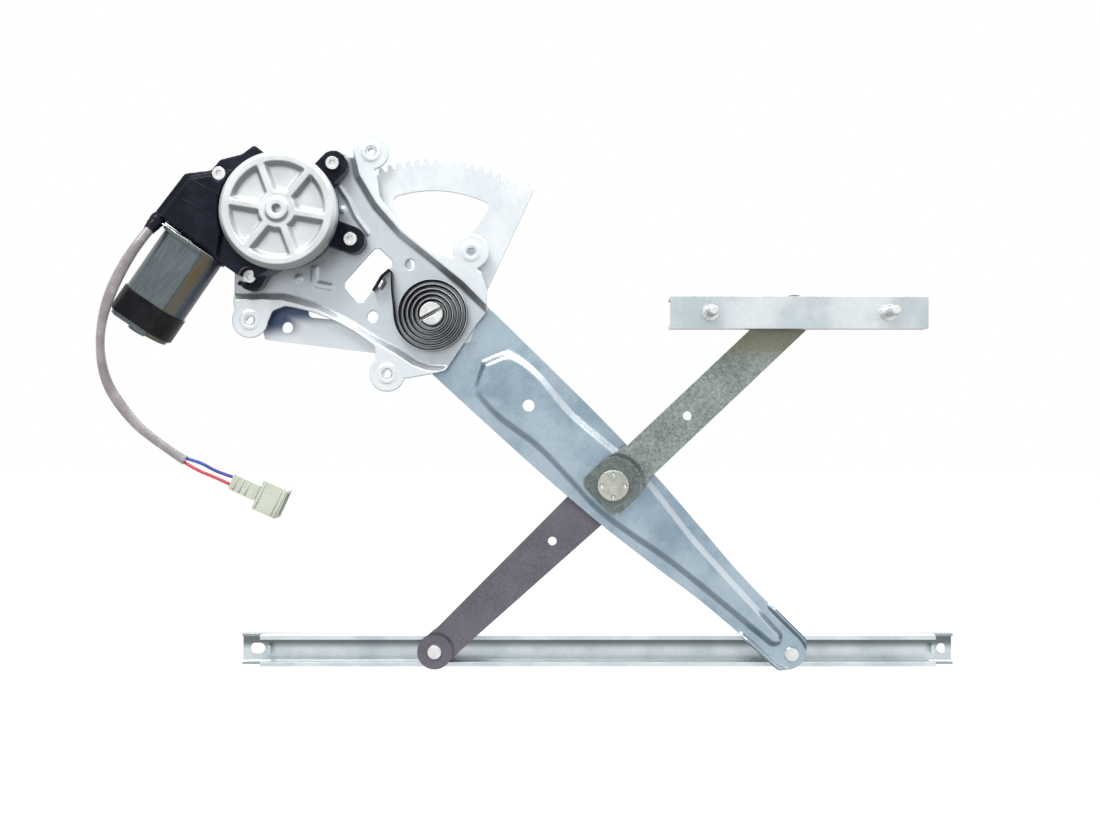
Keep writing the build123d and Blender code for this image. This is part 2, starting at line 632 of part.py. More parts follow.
short_rail = build_channel(
    UPPER_END[0] - SHORT_HALF, UPPER_END[0] + SHORT_HALF, SHORT_FRONT, UPPER_END[1], short_depth, 1
)
with BuildPart() as equalizer_channel:
    add(short_rail.part)
    with BuildSketch(front(SHORT_FRONT, *UPPER_END)):
        with Locations((-STUD_SPACING / 2, 0), (STUD_SPACING / 2, 0)):
            Circle(STUD_SEAT_R)
    extrude(amount=-CHANNEL_WALL, mode=Mode.SUBTRACT)
keep(equalizer_channel, "equalizer_channel")

with BuildPart() as channel_studs:
    with BuildSketch(front(SHORT_FRONT + CHANNEL_WALL, *UPPER_END)):
        with Locations((-STUD_SPACING / 2, 0), (STUD_SPACING / 2, 0)):
            Circle(STUD_SEAT_R)
    extrude(amount=CHANNEL_WALL)
    with BuildSketch(front(SHORT_FRONT, *UPPER_END)):
        with Locations((-STUD_SPACING / 2, 0), (STUD_SPACING / 2, 0)):
            Circle(STUD_FLANGE_R)
    extrude(amount=STUD_FLANGE_T)
    with BuildSketch(front(SHORT_FRONT - STUD_FLANGE_T, *UPPER_END)):
        with Locations((-STUD_SPACING / 2, 0), (STUD_SPACING / 2, 0)):
            Circle(STUD_R)
    extrude(amount=SHORT_FRONT - STUD_FLANGE_T - STUD_TIP)
    chamfer(channel_studs.faces().filter_by(Axis.Y).sort_by(Axis.Y)[:2].edges(), 0.7)
keep(channel_studs, "channel_studs")

# Motor: gear housing against the plate, cover over the worm wheel, flat-sided can with its band
COVER_BACK = HOUSING_FRONT
COVER_RIM_W, COVER_HUB_R, COVER_BORE_R = 7.0, 7.7, 2.8
RIB_ANGLE, RIB_W = -9.5, 4.2
HOUSING_FLOOR = 1.5
POCKET_R = WHEEL_R + 1.4
POCKET_WALL = 1.8
HOUSING_FLANGE = 3.0
OUTPUT_R = 5.5
TUBE_R, TUBE_LENGTH = 12.5, 64.0
EAR_FRONT = -6.0
EAR_OUTER_R = 9.0
GEARBOX_SCREW = polar(46.3, 148.0)


def can_plane(distance):
    """Plane across the can's axis, its own X towards the front."""
    turn = radians(CAN_ANGLE)
    return Plane(
        origin=(
            PIVOT_X + CAN_X + distance * cos(turn),
            CAN_DEPTH,
            PIVOT_Z + CAN_Z + distance * sin(turn),
        ),
        x_dir=(0, -1, 0),
        z_dir=(cos(turn), 0, sin(turn)),
    )


def can_profile(distance, grow):
    """Round section with a flat front and back, grown or shrunk all round."""
    with BuildSketch(can_plane(distance)) as profile:
        Circle(CAN_R + grow)
        Rectangle(2 * (CAN_FLAT + grow), 3 * CAN_R, mode=Mode.INTERSECT)
    return profile


with BuildPart() as gear_housing:
    with BuildSketch(front(WEB_FRONT, MOTOR_X, MOTOR_Z)):
        Circle(POCKET_R + POCKET_WALL)
        with BuildLine():
            FilletPolyline(
                (-82.0, -1.0), (-62.0, 25.0), (-45.0, 27.0), (-39.0, 34.0), (-25.0, 37.5), (-17.0, 43.5),
                (-2.0, 32.0), (10.0, -28.0), (-27.0, -48.0), (-33.0, -43.0), (-42.0, -41.5), (-38.0, -34.5),
                close=True, radius=2.0,
            )
        make_face()
    extrude(amount=WEB_FRONT - HOUSING_FRONT)
    with BuildSketch(front(HOUSING_FRONT, MOTOR_X, MOTOR_Z)):
        Circle(COVER_R)
    extrude(amount=-HOUSING_FLANGE)
    with BuildSketch(front(HOUSING_FRONT, MOTOR_X, MOTOR_Z)):
        with BuildLine():
            FilletPolyline(
                (-78.0, -3.5), (-59.0, 22.0), (-30.0, 27.0), (-40.0, -32.0), close=True, radius=2.0,
            )
        make_face()
        Circle(COVER_R + 1.0, mode=Mode.SUBTRACT)
    extrude(amount=4.0, taper=20)
    with BuildSketch(front(WEB_FRONT, MOTOR_X, MOTOR_Z)):
        for angle in SCREW_ANGLES:
            with Locations(polar(SCREW_RADIUS, angle)):
                Circle(EAR_OUTER_R)
            with Locations(polar(SCREW_RADIUS - 9.0, angle)):
                Rectangle(18.0, 2 * EAR_OUTER_R, rotation=angle)
    extrude(amount=WEB_FRONT - EAR_FRONT)
    with BuildSketch(front(WEB_FRONT, MOTOR_X, MOTOR_Z)):
        Circle(14.8)
    extrude(amount=-SHEET)
    with BuildSketch(front(HOUSING_FRONT, MOTOR_X, MOTOR_Z)):
        Circle(POCKET_R)
    extrude(amount=-(HOUSING_FLOOR - HOUSING_FRONT), mode=Mode.SUBTRACT)
    with BuildSketch(can_plane(0)):
        Circle(WORM_R + 1.2)
    extrude(amount=-TUBE_LENGTH, mode=Mode.SUBTRACT)
    with BuildSketch(front(WEB_BACK, MOTOR_X, MOTOR_Z)):
        Circle(OUTPUT_R + SHAFT_GAP)
    extrude(amount=WEB_BACK - HOUSING_FLOOR, mode=Mode.SUBTRACT)
    with BuildSketch(front(HOUSING_FRONT, MOTOR_X, MOTOR_Z)):
        with Locations(*[polar(SCREW_RADIUS, a) for a in SCREW_ANGLES]):
            Circle(SCREW_SHANK_R + 0.15)
    extrude(amount=-(WEB_FRONT - HOUSING_FRONT), mode=Mode.SUBTRACT)
    with BuildSketch(can_plane(0)):
        Rectangle(80, 80)
    extrude(amount=CAN_LENGTH, mode=Mode.SUBTRACT)
    with BuildSketch(front(HOUSING_FRONT, MOTOR_X, MOTOR_Z)):
        with Locations(GEARBOX_SCREW):
            Circle(SCREW_SHANK_R)
    extrude(amount=-12.0, mode=Mode.SUBTRACT)
    with BuildSketch(front(HOUSING_FRONT, MOTOR_X, MOTOR_Z)):
        with Locations(GEARBOX_SCREW):
            Circle(SCREW_HEAD_R + 0.4)
    extrude(amount=6.0, mode=Mode.SUBTRACT)
    with BuildSketch(front(EAR_FRONT, MOTOR_X, MOTOR_Z)):
        with Locations(*[polar(SCREW_RADIUS, a) for a in SCREW_ANGLES]):
            Circle(SCREW_HEAD_R + 0.8)
    extrude(amount=30.0, mode=Mode.SUBTRACT)
keep(gear_housing, "gear_housing")

with BuildPart() as gear_cover:
    with BuildSketch(front(COVER_BACK, MOTOR_X, MOTOR_Z)):
        Circle(COVER_R)
    extrude(amount=COVER_BACK - COVER_FRONT)
    rim = gear_cover.faces().sort_by(Axis.Y)[0].edges()
    chamfer(rim, 2.6)
    with BuildSketch(front(COVER_FRONT, MOTOR_X, MOTOR_Z)):
        Circle(COVER_R - COVER_RIM_W)
        Circle(COVER_HUB_R + 4.0, mode=Mode.SUBTRACT)
        with PolarLocations(COVER_R / 2, 6, start_angle=RIB_ANGLE):
            Rectangle(COVER_R, RIB_W, mode=Mode.SUBTRACT)
    extrude(amount=-4.5, taper=25, mode=Mode.SUBTRACT)
    with BuildSketch(front(COVER_FRONT, MOTOR_X, MOTOR_Z)):
        Circle(COVER_HUB_R)
    extrude(amount=2.0, taper=20)
    with BuildSketch(front(COVER_FRONT - 2.0, MOTOR_X, MOTOR_Z)):
        Circle(COVER_BORE_R)
    extrude(amount=-(COVER_BACK - COVER_FRONT + 2.0), mode=Mode.SUBTRACT)
keep(gear_cover, "gear_cover")

with BuildPart() as housing_screws:
    with BuildSketch(front(EAR_FRONT, MOTOR_X, MOTOR_Z)):
        with Locations(*[polar(SCREW_RADIUS, a) for a in SCREW_ANGLES]):
            Circle(SCREW_HEAD_R)
    extrude(amount=3.4)
    with BuildSketch(front(WEB_BACK, MOTOR_X, MOTOR_Z)):
        with Locations(*[polar(SCREW_RADIUS, a) for a in SCREW_ANGLES]):
            Circle(SCREW_SHANK_R)
    extrude(amount=WEB_BACK - EAR_FRONT)
    with BuildSketch(front(HOUSING_FRONT, MOTOR_X, MOTOR_Z)):
        with Locations(GEARBOX_SCREW):
            Circle(SCREW_HEAD_R)
    extrude(amount=2.6)
    with BuildSketch(front(HOUSING_FRONT, MOTOR_X, MOTOR_Z)):
        with Locations(GEARBOX_SCREW):
            Circle(SCREW_SHANK_R)
    extrude(amount=-10.0)
    with BuildSketch(front(EAR_FRONT - 3.4, MOTOR_X, MOTOR_Z)):
        with Locations(*[polar(SCREW_RADIUS, a) for a in SCREW_ANGLES]):
            RegularPolygon(radius=2.4, side_count=6)
    extrude(amount=-1.8, mode=Mode.SUBTRACT)
    with BuildSketch(front(HOUSING_FRONT - 2.6, MOTOR_X, MOTOR_Z)):
        with Locations(GEARBOX_SCREW):
            RegularPolygon(radius=2.4, side_count=6)
    extrude(amount=-1.6, mode=Mode.SUBTRACT)
keep(housing_screws, "housing_screws")

# Worm wheel, output shaft and pinion turn together
WHEEL_FRONT, WHEEL_BACK = -14.5, -0.5
WHEEL_TEETH = 57
with BuildPart() as worm_wheel:
    with BuildSketch(front(WHEEL_BACK, MOTOR_X, MOTOR_Z)):
        Circle(WHEEL_R - 1.6)
        with PolarLocations(WHEEL_R - 1.3, WHEEL_TEETH):
            Rectangle(2.0, 1.5)
        Circle(OUTPUT_R, mode=Mode.SUBTRACT)
    extrude(amount=WHEEL_BACK - WHEEL_FRONT)
    with BuildSketch(front(WHEEL_FRONT, MOTOR_X, MOTOR_Z)):
        Circle(WHEEL_R - 5.0)
        Circle(OUTPUT_R + 4.0, mode=Mode.SUBTRACT)
    extrude(amount=-5.0, mode=Mode.SUBTRACT)
keep(worm_wheel, "worm_wheel")

PINION_FRONT, PINION_BACK = SECTOR_FRONT - 0.6, SECTOR_BACK + 0.6
PINION_ROOT_R, PINION_TIP_R = MODULE * (PINION_TEETH - 2.5) / 2, MODULE * (PINION_TEETH + 2) / 2
with BuildPart() as output_pinion:
    with BuildSketch(front(PINION_BACK, MOTOR_X, MOTOR_Z)):
        Circle(PINION_TIP_R)
        with BuildLine():
            Polyline(*gap_points(PINION_TEETH, PINION_ROOT_R, PINION_TIP_R), close=True)
        pinion_gap = make_face(mode=Mode.PRIVATE)
        for n in range(PINION_TEETH):
            turned = pinion_gap.rotate(Axis.Z, MESH_ANGLE + 180 + (n + 0.5) * 360 / PINION_TEETH)
            add(turned, mode=Mode.SUBTRACT)
    extrude(amount=PINION_BACK - PINION_FRONT)
    with BuildSketch(front(PINION_BACK, MOTOR_X, MOTOR_Z)):
        Circle(OUTPUT_R)
    extrude(amount=PINION_BACK - HOUSING_FRONT - 1.0)
    with BuildSketch(front(HOUSING_FRONT + 1.0, MOTOR_X, MOTOR_Z)):
        Circle(COVER_BORE_R - SHAFT_GAP)
    extrude(amount=6.0)
keep(output_pinion, "output_pinion")

# Can, band and what turns inside the can
with BuildPart() as motor_can:
    extrude(can_profile(0, 0).sketch, amount=CAN_LENGTH - 2.0, dir=can_plane(0).z_dir)
    extrude(can_profile(CAN_LENGTH - 2.0, -1.0).sketch, amount=2.0, dir=can_plane(0).z_dir)
    extrude(can_profile(0, 1.8).sketch, amount=2.0, dir=can_plane(0).z_dir)
    extrude(
        can_profile(0, -CAN_WALL).sketch,
        amount=CAN_LENGTH - 2 * CAN_WALL,
        dir=can_plane(0).z_dir,
        mode=Mode.SUBTRACT,
    )
    with BuildSketch(can_plane(CAN_LENGTH)):
        Circle(6.0)
    extrude(amount=3.0)
keep(motor_can, "motor_can")

with BuildPart() as can_band:
    band_length = BAND_END - BAND_START
    extrude(can_profile(BAND_START, BAND_T).sketch, amount=band_length, dir=can_plane(0).z_dir)
    extrude(
        can_profile(BAND_START, 0).sketch, amount=band_length, dir=can_plane(0).z_dir, mode=Mode.SUBTRACT
    )
keep(can_band, "can_band")

MAGNET_START, MAGNET_LENGTH, MAGNET_INNER_R = 14.0, 38.0, 14.5
with BuildPart() as magnets:
    with BuildSketch(can_plane(MAGNET_START)):
        Circle(CAN_R - CAN_WALL)
        Circle(MAGNET_INNER_R, mode=Mode.SUBTRACT)
        Rectangle(22.0, 3 * CAN_R, mode=Mode.INTERSECT)
    extrude(amount=MAGNET_LENGTH)
keep(magnets, "magnets")

ARMATURE_R, COMMUTATOR_R, ARMATURE_SHAFT_R = 13.6, 6.5, 2.5
with BuildPart() as brush_card:
    with BuildSketch(can_plane(0.5)):
        Circle(CAN_R - CAN_WALL)
        Rectangle(2 * (CAN_FLAT - CAN_WALL), 3 * CAN_R, mode=Mode.INTERSECT)
        Circle(COMMUTATOR_R + 0.3, mode=Mode.SUBTRACT)
    extrude(amount=5.0)
keep(brush_card, "brush_card")

with BuildPart() as armature:
    with BuildSketch(can_plane(-TUBE_LENGTH + 0.5)):
        Circle(ARMATURE_SHAFT_R)
    extrude(amount=TUBE_LENGTH + CAN_LENGTH - 2 * CAN_WALL - 1.0)
    with BuildSketch(can_plane(MAGNET_START + 2.0)):
        Circle(ARMATURE_R)
        with PolarLocations(ARMATURE_R, 10):
            Rectangle(7.0, 2.0, mode=Mode.SUBTRACT)
    extrude(amount=MAGNET_LENGTH - 4.0)
    with BuildSketch(can_plane(0.8)):
        Circle(COMMUTATOR_R)
    extrude(amount=9.0)
    for step in range(8):
        with BuildSketch(can_plane(-WORM_FROM_CAN - 12.0 + 3.2 * step)):
            Circle(WORM_R - 0.9)
        extrude(amount=1.6)
    with BuildSketch(can_plane(-WORM_FROM_CAN - 12.0)):
        Circle(WORM_R - 2.0)
    extrude(amount=24.0)
keep(armature, "armature")

# Counterbalance spring: flat spiral from the shaft's slot to the tab on the plate
SPIRAL_STEPS = 60
SPRING_SPAN = 360 * SPRING_TURNS + 15.4


def spiral_point(step, shift):
    share = step / SPIRAL_STEPS
    radius = SPRING_INNER_R + (SPRING_OUTER_R - SPRING_INNER_R) * share + shift
    return polar(radius, SPRING_END_ANGLE + SPRING_SPAN * (1 - share))


with BuildPart() as counter_spring:
    with BuildSketch(front(SPRING_BACK)):
        with BuildLine():
            outside = Spline(*[spiral_point(n, SPRING_T / 2) for n in range(SPIRAL_STEPS + 1)])
            inside = Spline(*[spiral_point(n, -SPRING_T / 2) for n in range(SPIRAL_STEPS + 1)])
            Line(outside @ 0, inside @ 0)
            Line(outside @ 1, inside @ 1)
        make_face()
        with BuildLine() as leg:
            FilletPolyline(
                spiral_point(SPIRAL_STEPS, 0), (-27.2, 16.0), (-27.4, 29.0), (-32.6, 24.8), (-38.4, 15.0),
                radius=1.6,
            )
        trace(leg.line, line_width=SPRING_T)
        with BuildLine() as tang:
            Polyline(spiral_point(0, 0), polar(6.5, SLOT_ANGLE + 180), polar(3.5, SLOT_ANGLE))
        trace(tang.line, line_width=SPRING_T)
    extrude(amount=SPRING_BACK - SPRING_FRONT)
keep(counter_spring, "counter_spring")

# Lead: sleeve, two wires and a two-pin connector
SLEEVE_ROUTE = [
    (-176.0, 60.5, -17.0), (-187.0, 43.5, -25.0), (-199.5, 21.0, -27.5), (-209.5, -1.0, -24.0),
    (-214.0, -23.5, -18.5), (-211.5, -45.0, -14.5), (-200.5, -63.5, -12.5), (-184.5, -81.0, -12.0),
    (-160.0, -96.8, -12.0),
]
BLUE_ROUTE = [(-159.2, -95.6, -12.0), (-150.0, -98.0, -12.0), (-139.0, -104.6, -12.0), (-129.0, -107.6, -12.0)]
RED_ROUTE = [(-160.8, -98.0, -12.0), (-152.0, -103.4, -12.0), (-142.0, -107.2, -12.0), (-130.9, -112.4, -12.0)]


def build_cord(route, radius):
    """Tube along straight runs joined by arcs as large as the runs allow, with its corner radii."""
    points = [Vector(PIVOT_X + x, y, PIVOT_Z + z) for x, z, y in route]
    bends = []
    for before, at, after in zip(points, points[1:], points[2:]):
        turn = radians((at - before).get_angle(after - at))
        bends.append(0.45 * min((at - before).length, (after - at).length) / tan(turn / 2))
    with BuildPart() as cord:
        with BuildLine() as path:
            FilletPolyline(*points, radius=bends)
        with BuildSketch(Plane(origin=points[0], z_dir=points[1] - points[0])):
            Circle(radius)
        sweep()
    length = sum(edge.length for edge in path.line.edges())
    share = cord.part.volume / (pi * radius**2 * length)
    print("corner radii", [round(b, 1) for b in bends], "length", round(length, 1), "volume", round(share, 3))
    return cord


lead_sleeve = build_cord(SLEEVE_ROUTE, SLEEVE_R)
keep(lead_sleeve, "lead_sleeve")
blue_wire = build_cord(BLUE_ROUTE, WIRE_R)
keep(blue_wire, "blue_wire")
red_wire = build_cord(RED_ROUTE, WIRE_R)
keep(red_wire, "red_wire")

CONNECTOR_ANGLE = -24.6
BODY_CENTRE, BODY_LENGTH, BODY_WIDTH, BODY_T = (-120.4, -114.3), 18.7, 10.5, 8.0
HEAD_CENTRE, HEAD_LENGTH, HEAD_WIDTH, HEAD_T = (-103.3, -122.2), 17.3, 20.0, 13.0
with BuildPart() as connector_body:
    with BuildSketch(along(LEAD_DEPTH + BODY_T / 2, *BODY_CENTRE, CONNECTOR_ANGLE)):
        RectangleRounded(BODY_LENGTH, BODY_WIDTH, 1.0)
    extrude(amount=BODY_T)
keep(connector_body, "connector_body")

with BuildPart() as connector_head:
    with BuildSketch(along(LEAD_DEPTH + HEAD_T / 2, *HEAD_CENTRE, CONNECTOR_ANGLE)):
        RectangleRounded(HEAD_LENGTH, HEAD_WIDTH, 1.0)
    extrude(amount=HEAD_T)
    with BuildSketch(along(LEAD_DEPTH + HEAD_T / 2 - 2.0, *HEAD_CENTRE, CONNECTOR_ANGLE)):
        with Locations((3.0, 0)):
            Rectangle(HEAD_LENGTH - 3.0, HEAD_WIDTH - 4.0)
    extrude(amount=HEAD_T - 4.0, mode=Mode.SUBTRACT)
keep(connector_head, "connector_head")
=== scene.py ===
"""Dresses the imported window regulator: finishes, cast and stamped shells, spring, lead, camera and light.

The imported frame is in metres: X to the right, Z up, and the front faces -Y. Sizes in the fields are in
millimetres, and depths are measured from the seating plane. Pieces are placed from the main pivot. The
limits of a finish are measured from the frame's origin, or as its class says.
"""

import logging
import math
from dataclasses import dataclass, field
from enum import Enum
from typing import Any, Iterable, Sequence

import bmesh
import bpy
from mathutils import Matrix, Vector

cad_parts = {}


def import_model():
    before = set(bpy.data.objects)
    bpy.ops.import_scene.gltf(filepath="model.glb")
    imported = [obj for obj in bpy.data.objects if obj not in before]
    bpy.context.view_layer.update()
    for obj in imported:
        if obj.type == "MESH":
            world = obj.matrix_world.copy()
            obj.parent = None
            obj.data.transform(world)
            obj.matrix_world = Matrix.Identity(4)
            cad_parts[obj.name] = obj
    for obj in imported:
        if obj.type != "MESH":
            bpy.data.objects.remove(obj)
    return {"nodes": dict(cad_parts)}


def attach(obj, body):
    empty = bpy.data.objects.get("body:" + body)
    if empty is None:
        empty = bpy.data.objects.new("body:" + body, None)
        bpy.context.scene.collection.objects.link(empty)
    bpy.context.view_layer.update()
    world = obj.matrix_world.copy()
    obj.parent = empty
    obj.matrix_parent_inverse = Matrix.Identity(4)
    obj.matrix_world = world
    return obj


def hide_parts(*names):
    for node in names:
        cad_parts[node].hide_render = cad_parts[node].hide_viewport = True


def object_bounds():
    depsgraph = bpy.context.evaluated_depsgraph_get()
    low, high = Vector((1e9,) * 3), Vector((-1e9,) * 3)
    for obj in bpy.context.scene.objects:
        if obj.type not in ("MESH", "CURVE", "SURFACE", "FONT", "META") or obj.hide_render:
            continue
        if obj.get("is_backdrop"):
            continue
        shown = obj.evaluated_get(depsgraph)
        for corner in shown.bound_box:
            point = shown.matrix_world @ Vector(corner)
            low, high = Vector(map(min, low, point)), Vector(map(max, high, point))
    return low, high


LOG = logging.getLogger("window_regulator")
MM = 0.001
PIVOT = Vector((29.7, 0.0, 39.8)) * MM
ARM_ANGLE = math.radians(-43.4)
CROSS_AT = 166.5
STAKE_RING = 7.6
STAKES = 4

Colour = tuple[float, float, float]
Place = tuple[float, float]
Point = tuple[float, float, float]

WHITE: Colour = (1.0, 1.0, 1.0)


def smoothstep(value: float, low: float, high: float) -> float:
    """Smooth rise from 0 at low to 1 at high."""
    share = min(1.0, max(0.0, (value - low) / (high - low)))
    return share * share * (3.0 - 2.0 * share)


def smooth_through(points: Sequence[Place], at: float) -> float:
    """Reads a smooth curve through measured stations.

    Args:
        points: Stations and values, in rising order of station.
        at: Station to read.

    Returns:
        The value there, held level past either end.
    """
    if at <= points[0][0]:
        return points[0][1]
    if at >= points[-1][0]:
        return points[-1][1]
    slopes = [0.0] * len(points)
    for n in range(1, len(points) - 1):
        slopes[n] = (points[n + 1][1] - points[n - 1][1]) / (points[n + 1][0] - points[n - 1][0])
    n = max(i for i in range(len(points) - 1) if points[i][0] <= at)
    (x0, y0), (x1, y1) = points[n], points[n + 1]
    run = x1 - x0
    t = (at - x0) / run
    rise = (2 * t**3 - 3 * t**2 + 1) * y0 + (3 * t**2 - 2 * t**3) * y1
    return rise + (t**3 - 2 * t**2 + t) * run * slopes[n] + (t**3 - t**2) * run * slopes[n + 1]


def from_pivot(x: float, z: float, depth: float) -> Vector:
    """Point given in millimetres from the main pivot, at a depth from the seating plane."""
    return PIVOT + Vector((x, depth, z)) * MM


def on_arm(station: float, across: float, depth: float) -> Vector:
    """Point on the lift arm, in millimetres along it, across it and in depth."""
    along, side = (math.cos(ARM_ANGLE), math.sin(ARM_ANGLE)), (-math.sin(ARM_ANGLE), math.cos(ARM_ANGLE))
    return from_pivot(station * along[0] + across * side[0], station * along[1] + across * side[1], depth)


def stake_spots(depth: float) -> list[Vector]:
    """Centres of the stakes round the cross arms' pivot, at a depth."""
    turns = [math.radians(360.0 / STAKES * n) - ARM_ANGLE for n in range(STAKES)]
    return [on_arm(CROSS_AT + STAKE_RING * math.cos(a), STAKE_RING * math.sin(a), depth) for a in turns]


class Wire:
    """A node socket that takes part in expressions."""

    def __init__(self, bench: "NodeBench", socket: Any) -> None:
        """Keeps the socket and the bench that its maths nodes go on."""
        self.bench = bench
        self.socket = socket

    def maths(self, operation: str, *others: Any, clamp: bool = False) -> "Wire":
        """Adds one Math node on this wire and others, which are numbers or wires."""
        settings = {"operation": operation, "use_clamp": clamp}
        return self.bench.node("ShaderNodeMath", settings, dict(enumerate((self, *others))))

    def __add__(self, other: Any) -> "Wire":
        """Sum."""
        return self.maths("ADD", other)

    __radd__ = __add__

    def __mul__(self, other: Any) -> "Wire":
        """Product."""
        return self.maths("MULTIPLY", other)

    __rmul__ = __mul__

    def __sub__(self, other: Any) -> "Wire":
        """Difference."""
        return self.maths("SUBTRACT", other)

    def __rsub__(self, other: Any) -> "Wire":
        """Difference from a number."""
        return self.maths("MULTIPLY", -1.0) + other

    def between(self, low: float, high: float) -> "Wire":
        """Smooth mask that rises from 0 at low to 1 at high."""
        inputs = {"Value": self, "From Min": low, "From Max": high}
        return self.bench.node("ShaderNodeMapRange", {"interpolation_type": "SMOOTHSTEP"}, inputs)

    def past(self, limits: Place) -> "Wire":
        """Smooth mask of a length in metres, between limits in millimetres."""
        return self.between(limits[0] * MM, limits[1] * MM)


class NodeBench:
    """The node tree of a material or of the world, and the ways to add to it."""

    def __init__(self, name: str, owner: Any = None) -> None:
        """Empties the tree of its owner, which is a new material of that name if none is given.

        Args:
            name: The new material's name.
            owner: The material or world to use instead.
        """
        self.owner = owner or bpy.data.materials.new(name)
        self.owner.use_nodes = True
        self.tree = self.owner.node_tree
        self.tree.nodes.clear()

    def node(self, kind: str, settings: dict[str, Any], inputs: dict[Any, Any], output: Any = 0) -> Wire:
        """Adds a node, its settings first.

        Args:
            kind: The node's type name.
            settings: Attributes of the node.
            inputs: Values or wires by socket number, identifier or name.
            output: Number or name of the output that is wanted.

        Returns:
            The wire of that output, or a bare one for a node that ends the tree.
        """
        made = self.tree.nodes.new(kind)
        for key, value in settings.items():
            setattr(made, key, value)
        by_identifier = {s.identifier: s for s in made.inputs}
        for key, value in inputs.items():
            socket = by_identifier[key] if key in by_identifier else made.inputs[key]
            if isinstance(value, Wire):
                self.tree.links.new(value.socket, socket)
            else:
                socket.default_value = value
        return Wire(self, made.outputs[output] if made.outputs else None)

    def place(self, stretch: Point = (1.0, 1.0, 1.0), turn: float = 0.0) -> Wire:
        """Object coordinates, turned about the depth axis and stretched.

        Args:
            stretch: Scale along each axis after the turn.
            turn: Angle about Y in radians.

        Returns:
            The vector's wire.
        """
        where = self.node("ShaderNodeTexCoord", {}, {}, "Object")
        turned = self.node("ShaderNodeMapping", {}, {"Vector": where, "Rotation": (0.0, turn, 0.0)})
        return self.node("ShaderNodeMapping", {}, {"Vector": turned, "Scale": stretch})

    def noise(self, where: Wire, grain_mm: float, detail: float = 4.0, roughness: float = 0.55) -> Wire:
        """Noise whose clouds are about grain_mm wide."""
        inputs = {"Vector": where, "Scale": 1.0 / (grain_mm * MM), "Detail": detail, "Roughness": roughness}
        return self.node("ShaderNodeTexNoise", {}, inputs)

    def facing(self) -> Wire:
        """Direction that the surface faces, in the object's own frame."""
        return self.node("ShaderNodeTexCoord", {}, {}, "Normal")

    def slope(self) -> Wire:
        """How far the surface faces up, from -1 to 1."""
        return self.axis(self.facing(), "Z")

    def axis(self, where: Wire, name: str) -> Wire:
        """One axis of a vector, named X, Y or Z."""
        return self.node("ShaderNodeSeparateXYZ", {}, {"Vector": where}, name)

    def vector(self, operation: str, *parts: Any, output: str = "Vector") -> Wire:
        """Adds one Vector Math node on wires or plain vectors."""
        return self.node("ShaderNodeVectorMath", {"operation": operation}, dict(enumerate(parts)), output)

    def away(self, where: Wire, spot: Vector) -> Wire:
        """Distance from a spot, in metres."""
        return self.vector("DISTANCE", where, spot, output="Value")

    def mix(self, mask: Any, first: Any, second: Any) -> Wire:
        """Mixes two colours, which are wires or plain.

        Args:
            mask: Share of the second, a wire or a number.
            first: Colour where the mask is 0.
            second: Colour where it is 1.

        Returns:
            The mixed colour's wire.
        """
        ends = [c if isinstance(c, Wire) else (*c, 1.0) for c in (first, second)]
        sockets = {"Factor_Float": mask, "A_Color": ends[0], "B_Color": ends[1]}
        return self.node("ShaderNodeMix", {"data_type": "RGBA"}, sockets, 2)

    def bump(self, height: Wire, strength: float, distance_mm: float, edge_mm: float) -> Wire:
        """Normal from a height, on edges rounded a little.

        Args:
            height: The height's wire, about 0 to 1.
            strength: Share of the height that shows.
            distance_mm: Depth of the relief.
            edge_mm: Radius of the rounded edges, or 0 for none.

        Returns:
            The normal's wire.
        """
        inputs = {"Height": height, "Strength": strength, "Distance": distance_mm * MM}
        if edge_mm:
            inputs["Normal"] = self.node("ShaderNodeBevel", {"samples": 6}, {"Radius": edge_mm * MM})
        return self.node("ShaderNodeBump", {}, inputs)

    def seen(self) -> Wire:
        """Mask of the rays that show a surface to the camera, straight or by way of the metal."""
        rays = [self.node("ShaderNodeLightPath", {}, {}, f"Is {kind} Ray")
                for kind in ("Camera", "Glossy", "Transmission")]
        return rays[0].maths("ADD", rays[1], clamp=True).maths("ADD", rays[2], clamp=True)

    def finish(self, colour: Wire, roughness: Any, normal: Wire, fixed: dict[str, Any]) -> bpy.types.Material:
        """Joins the shader to the output.

        Args:
            colour: Base colour.
            roughness: Roughness, a wire or a number.
            normal: The normal's wire.
            fixed: Other sockets of the shader, by name, that are the same all over.

        Returns:
            The finished material.
        """
        inputs = {"Base Color": colour, "Roughness": roughness, "Normal": normal, **fixed}
        shader = self.node("ShaderNodeBsdfPrincipled", {}, inputs)
        self.node("ShaderNodeOutputMaterial", {}, {"Surface": shader})
        return self.owner


@dataclass(frozen=True)
class Ground:
    """What the shade of a sheet starts from: its bench, object coordinates, soft clouds and own colour."""

    bench: NodeBench
    where: Wire
    clouds: Wire
    plain: Wire

    def axis(self, name: str) -> Wire:
        """Place along one axis of the frame, in metres."""
        return self.bench.axis(self.where, name)


